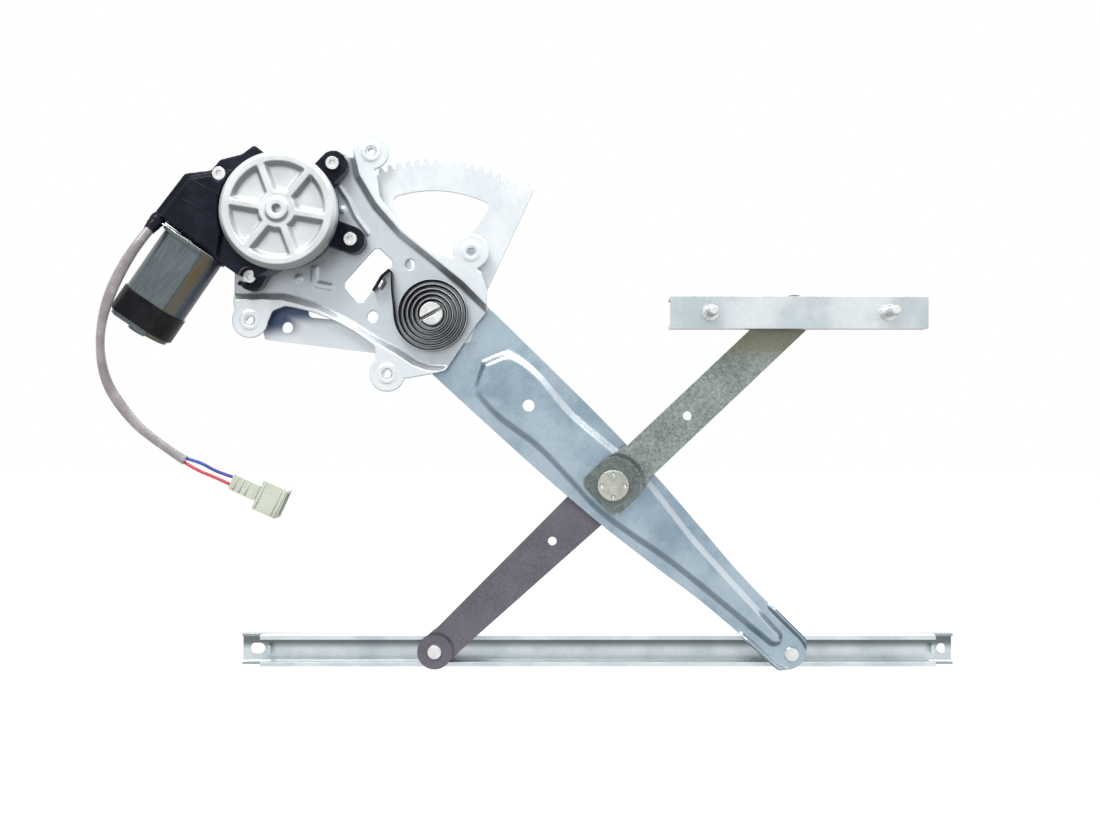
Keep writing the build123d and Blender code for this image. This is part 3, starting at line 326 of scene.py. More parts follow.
@dataclass(frozen=True)
class Sheet:
    """Plated or galvanised steel: clouds, fine grain, small marks from handling, painted light on upward
    faces and painted shade on downward faces.
    """

    name: str
    pale: Colour
    dark: Colour
    metallic: float = 0.85
    roughness: float = 0.34
    cloud_mm: float = 22.0
    grain_mm: float = 1.2
    grain_share: float = 0.15
    relief: float = 0.05
    edge_mm: float = 0.35
    # Strength of the painted shade on downward faces, strength of the painted light on upward faces, and that
    # light's colour.
    underside_shade: float = 0.62
    upper: float = 0.5
    lit: Colour = (0.92, 0.95, 0.97)

    def make(self) -> bpy.types.Material:
        """Builds the material.

        Returns:
            The finished material.
        """
        bench = NodeBench(self.name)
        where = bench.place()
        clouds = bench.noise(where, self.cloud_mm).between(0.32, 0.68)
        grain = bench.noise(where, self.grain_mm, 2.0).between(0.3, 0.7)
        mask = clouds * (1.0 - self.grain_share) + grain * self.grain_share
        marks = bench.noise(where, self.cloud_mm * 0.5, 6.0, 0.6).between(0.58, 0.75)
        wear_and_highlight = tuple(c * 0.8 for c in self.dark)
        plain = bench.mix(marks * 0.3, bench.mix(mask, self.dark, self.pale), wear_and_highlight)
        # Painted shade on faces that point down and painted light on faces that point up.
        slope = bench.slope()
        lower = (1.0 - slope.between(-0.5, -0.1)) * self.underside_shade
        shaded = self.shade(Ground(bench, where, clouds, plain))
        below = bench.mix(lower, shaded, tuple(c * 0.3 for c in self.dark))
        colour = bench.mix(slope.between(0.12, 0.5) * self.upper, below, self.lit)
        roughness = self.roughness + (grain - 0.5) * 0.08 + marks * 0.1
        normal = bench.bump(grain * 0.4 + clouds * 0.6, self.relief, 0.12, self.edge_mm)
        return bench.finish(colour, roughness, normal, {"Metallic": self.metallic})

    def shade(self, ground: Ground) -> Wire:
        """Tone that depends on the place on the sheet; plain sheet has none."""
        return ground.plain


@dataclass(frozen=True)
class PlateZinc(Sheet):
    """Bright zinc of the base plate and sector: white rims, painted shade on the greyer web, and a painted
    blue shadow on the sector below the arch.
    """

    # Colours of the painted shade on the web and of the painted shadow below the arch.
    web: Colour = (0.5, 0.56, 0.61)
    arch_shadow: Colour = (0.035, 0.065, 0.15)
    web_depth: Place = (1.5, 5.5)
    sector_depth: Place = (8.5, 9.5)
    corner_up: Place = (23.0, 34.0)
    corner_across: Place = (-70.0, -55.0)
    arch_foot: Place = (32.0, 41.0)
    arch_top: Place = (55.0, 75.0)
    arch_across: Place = (-35.0, -12.0)

    def shade(self, ground: Ground) -> Wire:
        """Paints shade on the web behind the rims, and a shadow on the part of the sector below the arch.

        Args:
            ground: What the shade starts from.

        Returns:
            The shaded colour.
        """
        depth, across, height = (ground.axis(name) for name in "YXZ")
        behind = depth.past(self.sector_depth)
        on_web = depth.past(self.web_depth) - behind
        # Painted shade on the web.
        web_shaded = ground.bench.mix(on_web * (0.5 + ground.clouds * 0.3), ground.plain, self.web)
        # Painted shadow on the part of the sector below the arch.
        corner = height.past(self.corner_up) * (1.0 - across.past(self.corner_across))
        under_arch = height.past(self.arch_foot).maths("MAXIMUM", corner)
        below = behind * under_arch * (1.0 - height.past(self.arch_top))
        left = 1.0 - across.past(self.arch_across)
        return ground.bench.mix(below * left * 0.95, web_shaded, self.arch_shadow)


@dataclass(frozen=True)
class ChannelZinc(Sheet):
    """Zinc of the channels, with a painted shadow inside the long channel below its upper flange."""

    # Colour of the painted shadow and shade.
    flange_shadow: Colour = (0.075, 0.095, 0.1)
    inside_depth: Place = (28.0, 34.0)
    band_foot: Place = (-190.5, -184.5)
    band_top: Place = (-50.0, 0.0)
    foot_up: Place = (-198.5, -197.2)

    def shade(self, ground: Ground) -> Wire:
        """Paints the shadow of the flange on the upper part of the long channel's web, and shade at the foot
        of the web.

        Args:
            ground: What the shade starts from.

        Returns:
            The shaded colour.
        """
        height = ground.axis("Z")
        inside = ground.axis("Y").past(self.inside_depth)
        # Painted shadow of the flange over the web, and painted shade at the foot of the web.
        band = height.past(self.band_foot) * (1.0 - height.past(self.band_top))
        foot = 1.0 - height.past(self.foot_up)
        return ground.bench.mix(inside * (band * 0.85 + foot * 0.8), ground.plain, self.flange_shadow)


@dataclass(frozen=True)
class StakedSteel(Sheet):
    """Dull pale steel of the centre pivot's face, with painted shade in its stakes.

    A stake's rim is measured from its centre.
    """

    stake_depth: float = 4.2
    pit_rim: Place = (0.8, 1.4)
    # Colour of the painted shade in the stakes.
    pit_shade: Colour = (0.02, 0.025, 0.03)

    def shade(self, ground: Ground) -> Wire:
        """Paints shade in the stakes.

        Args:
            ground: What the shade starts from.

        Returns:
            The shaded colour.
        """
        colour = ground.plain
        # Painted shade in each stake.
        for spot in stake_spots(self.stake_depth):
            away = ground.bench.away(ground.where, spot)
            colour = ground.bench.mix(1.0 - away.past(self.pit_rim), colour, self.pit_shade)
        return colour


@dataclass(frozen=True)
class Spangle:
    """Coarse spangled zinc: crystals of different greys with fine sparkle.

    It has painted shade in a pocket round the cross arms' pivot, whose rim is measured from that pivot, and
    on downward faces.
    """

    name: str
    pale: Colour
    dark: Colour
    crystal_mm: float
    metallic: float = 0.75
    roughness: float = 0.42
    # Colour of the painted shade in the pocket and on downward faces.
    stain_and_shade: Colour = (0.07, 0.085, 0.09)
    olive: Colour = (0.2, 0.19, 0.1)
    pocket_depth: float = 4.0
    pocket_rim: Place = (17.5, 20.5)
    olive_up: Place = (4.0, 22.0)

    def make(self) -> bpy.types.Material:
        """Builds the material.

        Returns:
            The finished material.
        """
        bench = NodeBench(self.name)
        where = bench.place()
        inputs = {"Vector": where, "Scale": 1.0 / (self.crystal_mm * MM), "Randomness": 1.0}
        cells = bench.node("ShaderNodeTexVoronoi", {"feature": "F1"}, inputs, "Color")
        tone = bench.node("ShaderNodeSeparateColor", {}, {"Color": cells}, 0)
        clouds = bench.noise(where, 30.0, 3.0).between(0.3, 0.7)
        sparkle = bench.noise(where, 0.9, 2.0).between(0.35, 0.65)
        mask = tone * 0.35 + sparkle * 0.35 + clouds * 0.3
        # Painted shade in the pocket round the cross arms' pivot.
        centre = on_arm(CROSS_AT, 0.0, self.pocket_depth)
        pocket = 1.0 - bench.away(where, centre).past(self.pocket_rim)
        stained_and_shaded = bench.mix(pocket * 0.45, bench.mix(mask, self.dark, self.pale), self.stain_and_shade)
        olive = bench.mix(bench.axis(where, "Z").past(self.olive_up) * 0.6, stained_and_shaded, self.olive)
        # Painted shade on downward faces.
        colour = bench.mix((1.0 - bench.slope().between(-0.5, -0.1)) * 0.5, olive, self.stain_and_shade)
        roughness = self.roughness + (tone - 0.5) * 0.2
        normal = bench.bump(tone * 0.5 + sparkle * 0.5, 0.22, 0.15, 0.35)
        return bench.finish(colour, roughness, normal, {"Metallic": self.metallic})


@dataclass(frozen=True)
class Cast:
    """Painted or moulded skin with a fine orange-peel texture, soft clouds, a little dust, and painted shade
    on downward faces where it is asked for.
    """

    name: str
    pale: Colour
    dark: Colour
    metallic: float = 0.0
    roughness: float = 0.4
    peel_mm: float = 0.8
    relief: float = 0.25
    edge_mm: float = 0.3
    scatter: float = 0.0
    shine: float = 0.5
    # Strength of the painted shade on downward faces.
    underside_shade: float = 0.0

    def make(self) -> bpy.types.Material:
        """Builds the material.

        Returns:
            The finished material.
        """
        bench = NodeBench(self.name)
        where = bench.place()
        clouds = bench.noise(where, 18.0, 5.0).between(0.35, 0.7)
        peel = bench.noise(where, self.peel_mm, 3.0)
        dust = bench.noise(where, 3.5, 8.0, 0.75).between(0.6, 0.75)
        plain = bench.mix(clouds * 0.8 + dust * 0.2, self.dark, self.pale)
        # Painted shade on faces that point down.
        lower = (1.0 - bench.slope().between(-0.4, 0.05)) * self.underside_shade
        colour = bench.mix(lower, plain, tuple(c * 0.28 for c in self.dark))
        roughness = self.roughness + (clouds - 0.5) * 0.12 + dust * 0.1
        normal = bench.bump(peel, self.relief, 0.1, self.edge_mm)
        fixed = {"Metallic": self.metallic, "Specular IOR Level": self.shine}
        if self.scatter:
            fixed.update({"Subsurface Weight": self.scatter, "Subsurface Scale": 3.0 * MM})
        return bench.finish(colour, roughness, normal, fixed)


@dataclass(frozen=True)
class CanSteel:
    """Grey steel of the motor can, drawn along its axis, with brown staining beside its flat face, painted
    shade along the flat's edges and a painted shadow along one side.

    The axis is placed from the main pivot, and the limits are measured across the can from the axis.
    """

    name: str
    pale: Colour = (0.15, 0.182, 0.192)
    dark: Colour = (0.082, 0.102, 0.112)
    # Colour of the real brown staining beside the flat face.
    stain_and_shade: Colour = (0.118, 0.088, 0.04)
    shadow: Colour = (0.018, 0.026, 0.045)
    axis_turn: float = math.radians(55.5)
    axis_place: Place = (-154.7, 44.8)
    flat_edge: tuple[float, float, float] = (-13.7, -12.2, -10.5)
    stain_start: Place = (-19.5, -16.5)
    stain_end: Place = (-13.7, -11.7)
    shadow_end: Place = (-20.5, -16.5)

    def make(self) -> bpy.types.Material:
        """Builds the material.

        Returns:
            The finished material.
        """
        bench = NodeBench(self.name)
        where = bench.place(turn=self.axis_turn)
        drawn = bench.place((0.15, 1.0, 1.0), self.axis_turn)
        lines = bench.noise(drawn, 1.4, 4.0).between(0.3, 0.7)
        clouds = bench.noise(where, 14.0, 5.0).between(0.3, 0.7)
        across = bench.axis(where, "Z")
        steel = bench.mix(lines * 0.3 + clouds * 0.4 + 0.15, self.dark, self.pale)
        # Painted shade in thin lines along the edges of the flat face.
        outer, middle, inner = self.flat_edge
        edge = self.past(across, (outer, middle)) - self.past(across, (middle, inner))
        lined = bench.mix(edge * 0.5, steel, self.shadow)
        near = self.past(across, self.stain_start) * (1.0 - self.past(across, self.stain_end))
        stained_and_shaded = bench.mix(near * (0.45 + clouds * 0.5), lined, self.stain_and_shade)
        # Painted shadow along one side of the can.
        colour = bench.mix((1.0 - self.past(across, self.shadow_end)) * 0.9, stained_and_shaded, self.shadow)
        normal = bench.bump(lines, 0.15, 0.1, 0.4)
        return bench.finish(colour, 0.36 + (lines - 0.5) * 0.2, normal, {"Metallic": 0.75})

    def past(self, across: Wire, limits: Place) -> Wire:
        """Mask that rises between two places across the can, in millimetres from its axis."""
        axis = (Matrix.Rotation(self.axis_turn, 3, "Y") @ from_pivot(*self.axis_place, 0.0)).z
        return across.between(axis + limits[0] * MM, axis + limits[1] * MM)


@dataclass(frozen=True)
class SpringBlack:
    """Black oxide on spring steel, with painted highlights in thin bright lines on the front edges."""

    name: str
    front: float = -2.99
    # Depth of the band of painted highlight behind the front face.
    highlight_depth: float = 0.42
    blur: float = 0.06
    # Colour of the painted highlight.
    bright: Colour = (0.85, 0.86, 0.88)

    def make(self) -> bpy.types.Material:
        """Builds the material.

        Returns:
            The finished material.
        """
        bench = NodeBench(self.name)
        where = bench.place()
        clouds = bench.noise(where, 9.0, 6.0).between(0.4, 0.7)
        grain = bench.noise(where, 0.7, 3.0)
        black = bench.mix(clouds * 0.5, (0.006, 0.006, 0.01), (0.022, 0.022, 0.03))
        depth = bench.axis(where, "Y")
        low, high, blur = self.front * MM, (self.front + self.highlight_depth) * MM, self.blur * MM
        edge = depth.between(low, low + blur) * (1.0 - depth.between(high, high + blur))
        # Painted highlight on the front edges that face away from the pivot.
        wear_and_highlight = edge * self.outward(bench, where) * (0.7 + clouds * 0.3)
        colour = bench.mix(wear_and_highlight, black, self.bright)
        normal = bench.bump(grain, 0.2, 0.08, 0.0)
        return bench.finish(colour, 0.35 + clouds * 0.15, normal, {"Specular IOR Level": 0.12})

    def outward(self, bench: NodeBench, where: Wire) -> Wire:
        """Mask of the surfaces that face away from the main pivot, where the painted highlight goes."""
        ray = bench.vector("NORMALIZE", bench.vector("SUBTRACT", where, PIVOT))
        return bench.vector("DOT_PRODUCT", ray, bench.facing(), output="Value").between(0.1, 0.35)


@dataclass(frozen=True)
class LeadSkin:
    """Soft vinyl of the lead, with soft clouds and shallow creases."""

    name: str
    pale: Colour
    dark: Colour
    roughness: float = 0.32

    def make(self) -> bpy.types.Material:
        """Builds the material.

        Returns:
            The finished material.
        """
        bench = NodeBench(self.name)
        where = bench.place()
        clouds = bench.noise(where, 12.0, 4.0).between(0.3, 0.7)
        normal = bench.bump(bench.noise(where, 2.2, 5.0), 0.3, 0.25, 0.0)
        colour = bench.mix(clouds, self.dark, self.pale)
        fixed = {"Coat Weight": 0.4, "Coat Roughness": 0.15}
        return bench.finish(colour, self.roughness + clouds * 0.12, normal, fixed)


class Slot(Enum):
    """The record's material slots, each with its finish."""

    BRIGHT_ZINC = PlateZinc(
        "bright_zinc", (0.8, 0.84, 0.86), (0.68, 0.73, 0.77),
        metallic=0.6, roughness=0.36, cloud_mm=34.0, grain_mm=2.4, grain_share=0.12,
    )
    GALVANISED = Sheet(
        "galvanised", (0.43, 0.53, 0.6), (0.25, 0.34, 0.42),
        roughness=0.3, cloud_mm=32.0, grain_mm=2.4, grain_share=0.1, relief=0.03,
    )
    SPANGLED_ZINC = Spangle("spangled_zinc", (0.4, 0.455, 0.425), (0.11, 0.135, 0.13), crystal_mm=1.7)
    # The lower arm's finish, with its own colour of painted shade.
    DULL_ZINC = Spangle(
        "dull_zinc", (0.19, 0.175, 0.205), (0.085, 0.085, 0.11), crystal_mm=1.1,
        metallic=0.6, roughness=0.45, stain_and_shade=(0.05, 0.06, 0.07), olive=(0.2, 0.2, 0.23),
    )
    CHANNEL_ZINC = ChannelZinc(
        "channel_zinc", (0.74, 0.8, 0.82), (0.5, 0.57, 0.6),
        metallic=0.8, roughness=0.33, cloud_mm=38.0, grain_mm=2.2, grain_share=0.12,
    )
    PLATED_STEEL = Sheet(
        "plated_steel", (0.86, 0.87, 0.87), (0.66, 0.67, 0.67),
        metallic=0.9, roughness=0.27, cloud_mm=7.0, grain_mm=1.5, relief=0.03,
    )
    STAKED_STEEL = StakedSteel(
        "plated_steel", (0.56, 0.57, 0.5), (0.38, 0.4, 0.35),
        metallic=0.8, roughness=0.4, cloud_mm=6.0, grain_mm=1.6, grain_share=0.2,
    )
    SPRING_STEEL = SpringBlack("spring_steel")
    # The cover's downward faces, such as its pocket walls, get strong painted shade.
    SILVER_COVER = Cast(
        "silver_cover", (0.74, 0.77, 0.78), (0.63, 0.66, 0.67),
        metallic=0.5, roughness=0.38, peel_mm=0.7, relief=0.08, edge_mm=0.0, underside_shade=0.88,
    )
    BLACK_HOUSING = Cast(
        "black_housing", (0.018, 0.02, 0.034), (0.006, 0.007, 0.014),
        roughness=0.3, peel_mm=0.9, relief=0.3, edge_mm=0.0, shine=0.12,
    )
    BLACK_BAND = Cast(
        "black_band", (0.02, 0.017, 0.016), (0.006, 0.006, 0.009),
        roughness=0.36, peel_mm=1.4, relief=0.2, edge_mm=0.4, shine=0.1,
    )
    GREY_CAN = CanSteel("grey_can")
    NYLON = Cast(
        "nylon", (0.84, 0.84, 0.8), (0.74, 0.74, 0.7),
        roughness=0.42, peel_mm=1.5, relief=0.1, edge_mm=0.4, scatter=0.15,
    )
    MAGNET = Cast("magnet", (0.09, 0.09, 0.095), (0.04, 0.04, 0.045), metallic=0.2, roughness=0.5)
    ARMATURE_STEEL = Sheet(
        "armature_steel", (0.42, 0.42, 0.43), (0.26, 0.26, 0.27),
        metallic=0.9, roughness=0.35, cloud_mm=4.0, grain_mm=0.6, grain_share=0.4,
    )
    GREY_SLEEVE = LeadSkin("grey_sleeve", (0.4, 0.365, 0.365), (0.25, 0.225, 0.235), roughness=0.26)
    BLUE_WIRE = LeadSkin("blue_wire", (0.035, 0.07, 0.46), (0.02, 0.04, 0.3))
    RED_WIRE = LeadSkin("red_wire", (0.66, 0.055, 0.085), (0.5, 0.03, 0.05))
    # The connector's downward faces get a little painted shade.
    IVORY_PLASTIC = Cast(
        "ivory_plastic", (0.64, 0.68, 0.57), (0.54, 0.58, 0.48),
        roughness=0.38, peel_mm=2.0, relief=0.08, edge_mm=0.35, scatter=0.12, underside_shade=0.35,
    )


@dataclass
class Paintshop:
    """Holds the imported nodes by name, makes each finish once and puts it on pieces."""

    nodes: dict[str, bpy.types.Object]
    made: dict[Slot, bpy.types.Material] = field(default_factory=dict)

    def coat(self, piece: bpy.types.Object, slot: Slot) -> None:
        """Gives a piece its slot's finish.

        Args:
            piece: The object to dress.
            slot: Which finish it takes.
        """
        if slot not in self.made:
            self.made[slot] = slot.value.make()
        piece.data.materials.clear()
        piece.data.materials.append(self.made[slot])

    def dress_new(
        self, piece: bpy.types.Object, slot: Slot, body: str, nodes: Iterable[str] = ()
    ) -> bpy.types.Object:
        """Finishes a new piece: its coat, slot, body and the nodes that it stands for.

        Args:
            piece: The new object, in place.
            slot: Its finish.
            body: The body that it rides on.
            nodes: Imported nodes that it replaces.

        Returns:
            The same object.
        """
        self.coat(piece, slot)
        if nodes:
            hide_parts(*nodes)
        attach(piece, body)
        LOG.info("%s rides on %s", piece.name, body)
        return piece


def new_object(name: str, data: Any) -> bpy.types.Object:
    """Links an object at the origin with that mesh, curve, camera or lamp.

    Args:
        name: The object's name.
        data: What it holds.

    Returns:
        The new object.
    """
    made = bpy.data.objects.new(name, data)
    bpy.context.scene.collection.objects.link(made)
    return made


def smooth_object(name: str, mesh: bpy.types.Mesh, sharp_deg: float) -> bpy.types.Object:
    """Makes a smooth-shaded object whose edges that turn by more than sharp_deg stay crisp.

    Args:
        name: The object's name.
        mesh: Its mesh.
        sharp_deg: Angle in degrees.

    Returns:
        The new object.
    """
    mesh.shade_smooth()
    mesh.set_sharp_from_angle(angle=math.radians(sharp_deg))
    return new_object(name, mesh)


def from_bmesh(name: str, shape: bmesh.types.BMesh, sharp_deg: float = 40.0) -> bpy.types.Object:
    """Turns a bmesh into a smooth-shaded object with crisp edges.

    Args:
        name: The object's name.
        shape: The shape, which is freed.
        sharp_deg: Edges that turn by more stay crisp.

    Returns:
        The new object.
    """
    mesh = bpy.data.meshes.new(name)
    shape.to_mesh(mesh)
    shape.free()
    return smooth_object(name, mesh, sharp_deg)


def evaluated_mesh(piece: bpy.types.Object) -> bpy.types.Mesh:
    """Makes a mesh of an object with its modifiers applied, and deletes the object.

    Args:
        piece: The helper object.

    Returns:
        The new mesh.
    """
    bpy.context.view_layer.update()
    mesh = bpy.data.meshes.new_from_object(piece.evaluated_get(bpy.context.evaluated_depsgraph_get()))
    bpy.data.objects.remove(piece, do_unlink=True)
    return mesh


def cut(
    name: str, blank: bpy.types.Object, tool: bpy.types.Object, sharp_deg: float, meets_itself: bool = False
) -> bpy.types.Object:
    """Cuts a tool out of a blank and deletes both.

    Args:
        name: The new object's name.
        blank: What is cut.
        tool: What cuts it.
        sharp_deg: Edges that turn by more stay crisp.
        meets_itself: Whether the solver looks for places where the blank meets itself.

    Returns:
        The cut piece.
    """
    modifier = blank.modifiers.new("cut", "BOOLEAN")
    modifier.operation = "DIFFERENCE"
    modifier.solver = "EXACT"
    modifier.use_self = meets_itself
    modifier.object = tool
    mesh = evaluated_mesh(blank)
    bpy.data.objects.remove(tool, do_unlink=True)
    return smooth_object(name, mesh, sharp_deg)


def ease_edges(shape: bmesh.types.BMesh, size: float, segments: int, clamp: bool) -> None:
    """Bevels every closed edge that turns by more than a radian.

    Args:
        shape: The bmesh to change.
        size: Width of the bevel in millimetres.
        segments: How many faces round it.
        clamp: Whether bevels stop where they would meet.
    """
    edges = [e for e in shape.edges if e.is_manifold and e.calc_face_angle(0.0) > 1.0]
    bmesh.ops.bevel(
        shape, geom=edges, offset=size * MM, offset_type="OFFSET", segments=segments, profile=0.5,
        affect="EDGES", material=-1, clamp_overlap=clamp,
    )


def cylinder(shape: bmesh.types.BMesh, centre: Vector, radius: float, depth: float, sides: int = 48) -> None:
    """Adds a cylinder that lies along the depth axis.

    Args:
        shape: The bmesh to add to.
        centre: Its middle, in metres.
        radius: Its radius in millimetres.
        depth: Its whole length in millimetres.
        sides: How many sides it has.
    """
    turn = Matrix.Translation(centre) @ Matrix.Rotation(math.radians(90.0), 4, "X")
    bmesh.ops.create_cone(
        shape, cap_ends=True, segments=sides, radius1=radius * MM, radius2=radius * MM, depth=depth * MM,
        matrix=turn,
    )


def ring_edges(ring: Sequence[Any]) -> list[Any]:
    """Edges that join the vertices of a ring."""
    linked = dict.fromkeys(e for v in ring for e in v.link_edges)
    return [e for e in linked if e.verts[0] in ring and e.verts[1] in ring]


def sweep(
    shape: bmesh.types.BMesh, stations: Sequence[tuple[Vector, Vector, Vector]], sides: int
) -> list[Any]:
    """Draws an oval ring along stations and closes both ends.

    Args:
        shape: The bmesh to add to.
        stations: Centre, half width and half thickness vectors of each ring.
        sides: How many sides the ring has.

    Returns:
        The new vertices, ring by ring.
    """
    ring: list[Any] = []
    added: list[Any] = []
    for centre, wide, thin in stations:
        if not ring:
            made = bmesh.ops.create_circle(shape, cap_ends=True, segments=sides, radius=1.0)
            ring = sorted(made["verts"], key=lambda v: math.atan2(v.co.y, v.co.x))
        else:
            drawn = bmesh.ops.extrude_edge_only(shape, edges=ring_edges(ring))
            fresh = {v for v in drawn["geom"] if isinstance(v, bmesh.types.BMVert)}
            ring = [next(e.other_vert(v) for e in v.link_edges if e.other_vert(v) in fresh) for v in ring]
        for n, vert in enumerate(ring):
            angle = 2.0 * math.pi * n / sides
            vert.co = centre + wide * math.cos(angle) + thin * math.sin(angle)
        added += ring
    bmesh.ops.contextual_create(shape, geom=ring_edges(ring))
    bmesh.ops.recalc_face_normals(shape, faces=shape.faces)
    return added


@dataclass
class CastShell:
    """A moulded, cast or pressed shell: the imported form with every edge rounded."""

    node: str
    name: str
    slot: Slot
    voxel: float
    rounds: int
    body: str = "base"

    def build(self, shop: Paintshop) -> bpy.types.Object:
        """Remeshes a merged copy of the node and relaxes its edges.

        Args:
            shop: The paintshop that dresses the result.

        Returns:
            The finished shell.
        """
        source = bmesh.new()
        source.from_mesh(shop.nodes[self.node].data)
        bmesh.ops.remove_doubles(source, verts=source.verts, dist=2e-6)
        helper = from_bmesh(self.name + "_helper", source)
        remesh = helper.modifiers.new("remesh", "REMESH")
        remesh.mode = "VOXEL"
        remesh.voxel_size = self.voxel * MM
        mesh = evaluated_mesh(helper)
        shape = bmesh.new()
        shape.from_mesh(mesh)
        bpy.data.meshes.remove(mesh)
        for _ in range(self.rounds):
            bmesh.ops.smooth_vert(
                shape, verts=shape.verts, factor=0.5, use_axis_x=True, use_axis_y=True, use_axis_z=True
            )
        bmesh.ops.recalc_face_normals(shape, faces=shape.faces)
        return shop.dress_new(from_bmesh(self.name, shape, 180.0), self.slot, self.body, [self.node])


@dataclass
class LiftArm:
    """The long tapered stamping with its raised, waisted panel and turned-up end."""

    half_widths: tuple[Place, ...] = (
        (0.0, 29.5), (110.0, 28.0), (150.0, 26.5), (183.0, 24.5), (224.0, 20.5), (272.0, 15.5), (338.0, 13.5),
    )
    panel_half: tuple[Place, ...] = (
        (44.0, 15.0), (62.0, 19.0), (80.0, 20.0), (112.0, 16.5), (145.0, 18.0), (166.0, 19.5), (188.0, 17.8),
        (230.0, 11.5), (270.0, 8.2), (300.0, 6.2), (316.0, 5.2),
    )
    holes: tuple[Place, ...] = ((0.0, 6.0), (88.5, 4.0), (CROSS_AT, 7.55), (333.0, 3.5))
    start_r: float = 29.5
    tip_at: float = 328.5
    tip_r: float = 13.5
    panel_tip_at: float = 316.0
    panel_tip_r: float = 5.2
    panel_start: float = 60.0
    panel_slope: Place = (-1.9, 3.6)
    start_narrowing: float = 20.0
    start_run: Place = (4.0, 18.0)
    spread_from: float = 66.0
    spread_run: Place = (0.0, 14.0)
    start_spread: float = 0.8
    flange_ends: tuple[Place, Place] = ((297.0, 303.0), (333.0, 338.0))
    flange_width: Place = (0.9, 2.6)
    sheet_front: float = 12.8
    sheet: float = 2.4
    rise: float = 4.0
    flange_rise: float = 5.3
    steps: tuple[int, int] = (380, 90)
    end_bunching: float = 0.2
    eased_rounds: int = 6

    def half(self, station: float) -> float:
        """Half width of the stamping.

        Args:
            station: Place along the arm.

        Returns:
            The half width there, which rounds both ends.
        """
        if station < 0.0:
            return math.sqrt(max(0.04, self.start_r**2 - station**2))
        wide = smooth_through(self.half_widths, station)
        if station > self.tip_at:
            wide = min(wide, math.sqrt(max(0.04, self.tip_r**2 - (station - self.tip_at) ** 2)))
        return wide

    def panel(self, station: float, across: float) -> float:
        """Share of the panel's rise.

        Args:
            station: Place along the arm.
            across: Place across it.

        Returns:
            A number from 0 to 1.
        """
        edge = smooth_through(self.panel_half, station)
        past_tip = station - self.panel_tip_at
        if past_tip > 0.0:
            edge = math.sqrt(self.panel_tip_r**2 - past_tip**2) if past_tip < self.panel_tip_r else -6.0
        if station < self.panel_start:
            edge -= self.start_narrowing * smoothstep(self.panel_start - station, *self.start_run)
        spread = 1.0 + self.start_spread * smoothstep(self.spread_from - station, *self.spread_run)
        return smoothstep(edge - abs(across), *(limit * spread for limit in self.panel_slope))

    def flange(self, station: float, across: float) -> float:
        """Share of the turned-up sides' rise.

        Args:
            station: Place along the arm.
            across: Place across it.

        Returns:
            A number from 0 to 1.
        """
        starts, stops = self.flange_ends
        ends = smoothstep(station, *starts) * (1.0 - smoothstep(station, *stops))
        return ends * (1.0 - smoothstep(self.half(station) - abs(across), *self.flange_width))

    def build(self, shop: Paintshop) -> bpy.types.Object:
        """Shapes the sheet, gives it its thickness and cuts its holes.

        Args:
            shop: The paintshop that dresses it.

        Returns:
            The finished arm.
        """
        shape = bmesh.new()
        bmesh.ops.create_grid(shape, x_segments=self.steps[0], y_segments=self.steps[1], size=0.5)
        first, last = -self.start_r + 0.02, self.tip_at + self.tip_r - 0.02
        for vert in shape.verts:
            share = vert.co.x + 0.5
            bunched = 0.5 - 0.5 * math.cos(math.pi * share)
            station = first + (last - first) * (share + (bunched - share) * self.end_bunching)
            across = 2.0 * vert.co.y * self.half(station)
            raised = self.rise * self.panel(station, across) + self.flange_rise * self.flange(station, across)
            vert.co = on_arm(station, across, self.sheet_front - raised)
        for _ in range(self.eased_rounds):
            bmesh.ops.smooth_vert(
                shape, verts=shape.verts, factor=0.5, use_axis_x=False, use_axis_y=True, use_axis_z=False
            )
        bmesh.ops.recalc_face_normals(shape, faces=shape.faces)
        if sum(face.normal.y for face in shape.faces) > 0.0:
            bmesh.ops.reverse_faces(shape, faces=shape.faces)
        bmesh.ops.solidify(shape, geom=shape.faces[:], thickness=self.sheet * MM)
        bmesh.ops.recalc_face_normals(shape, faces=shape.faces)
        blank = from_bmesh("lift_arm_blank", shape)
        punches = bmesh.new()
        for station, radius in self.holes:
            cylinder(punches, on_arm(station, 0.0, 12.0), radius, 20.0)
        piece = cut("lift_arm_stamping", blank, from_bmesh("lift_arm_punch", punches), 58.0, True)
        return shop.dress_new(piece, Slot.GALVANISED, "lift", ["lift_arm"])


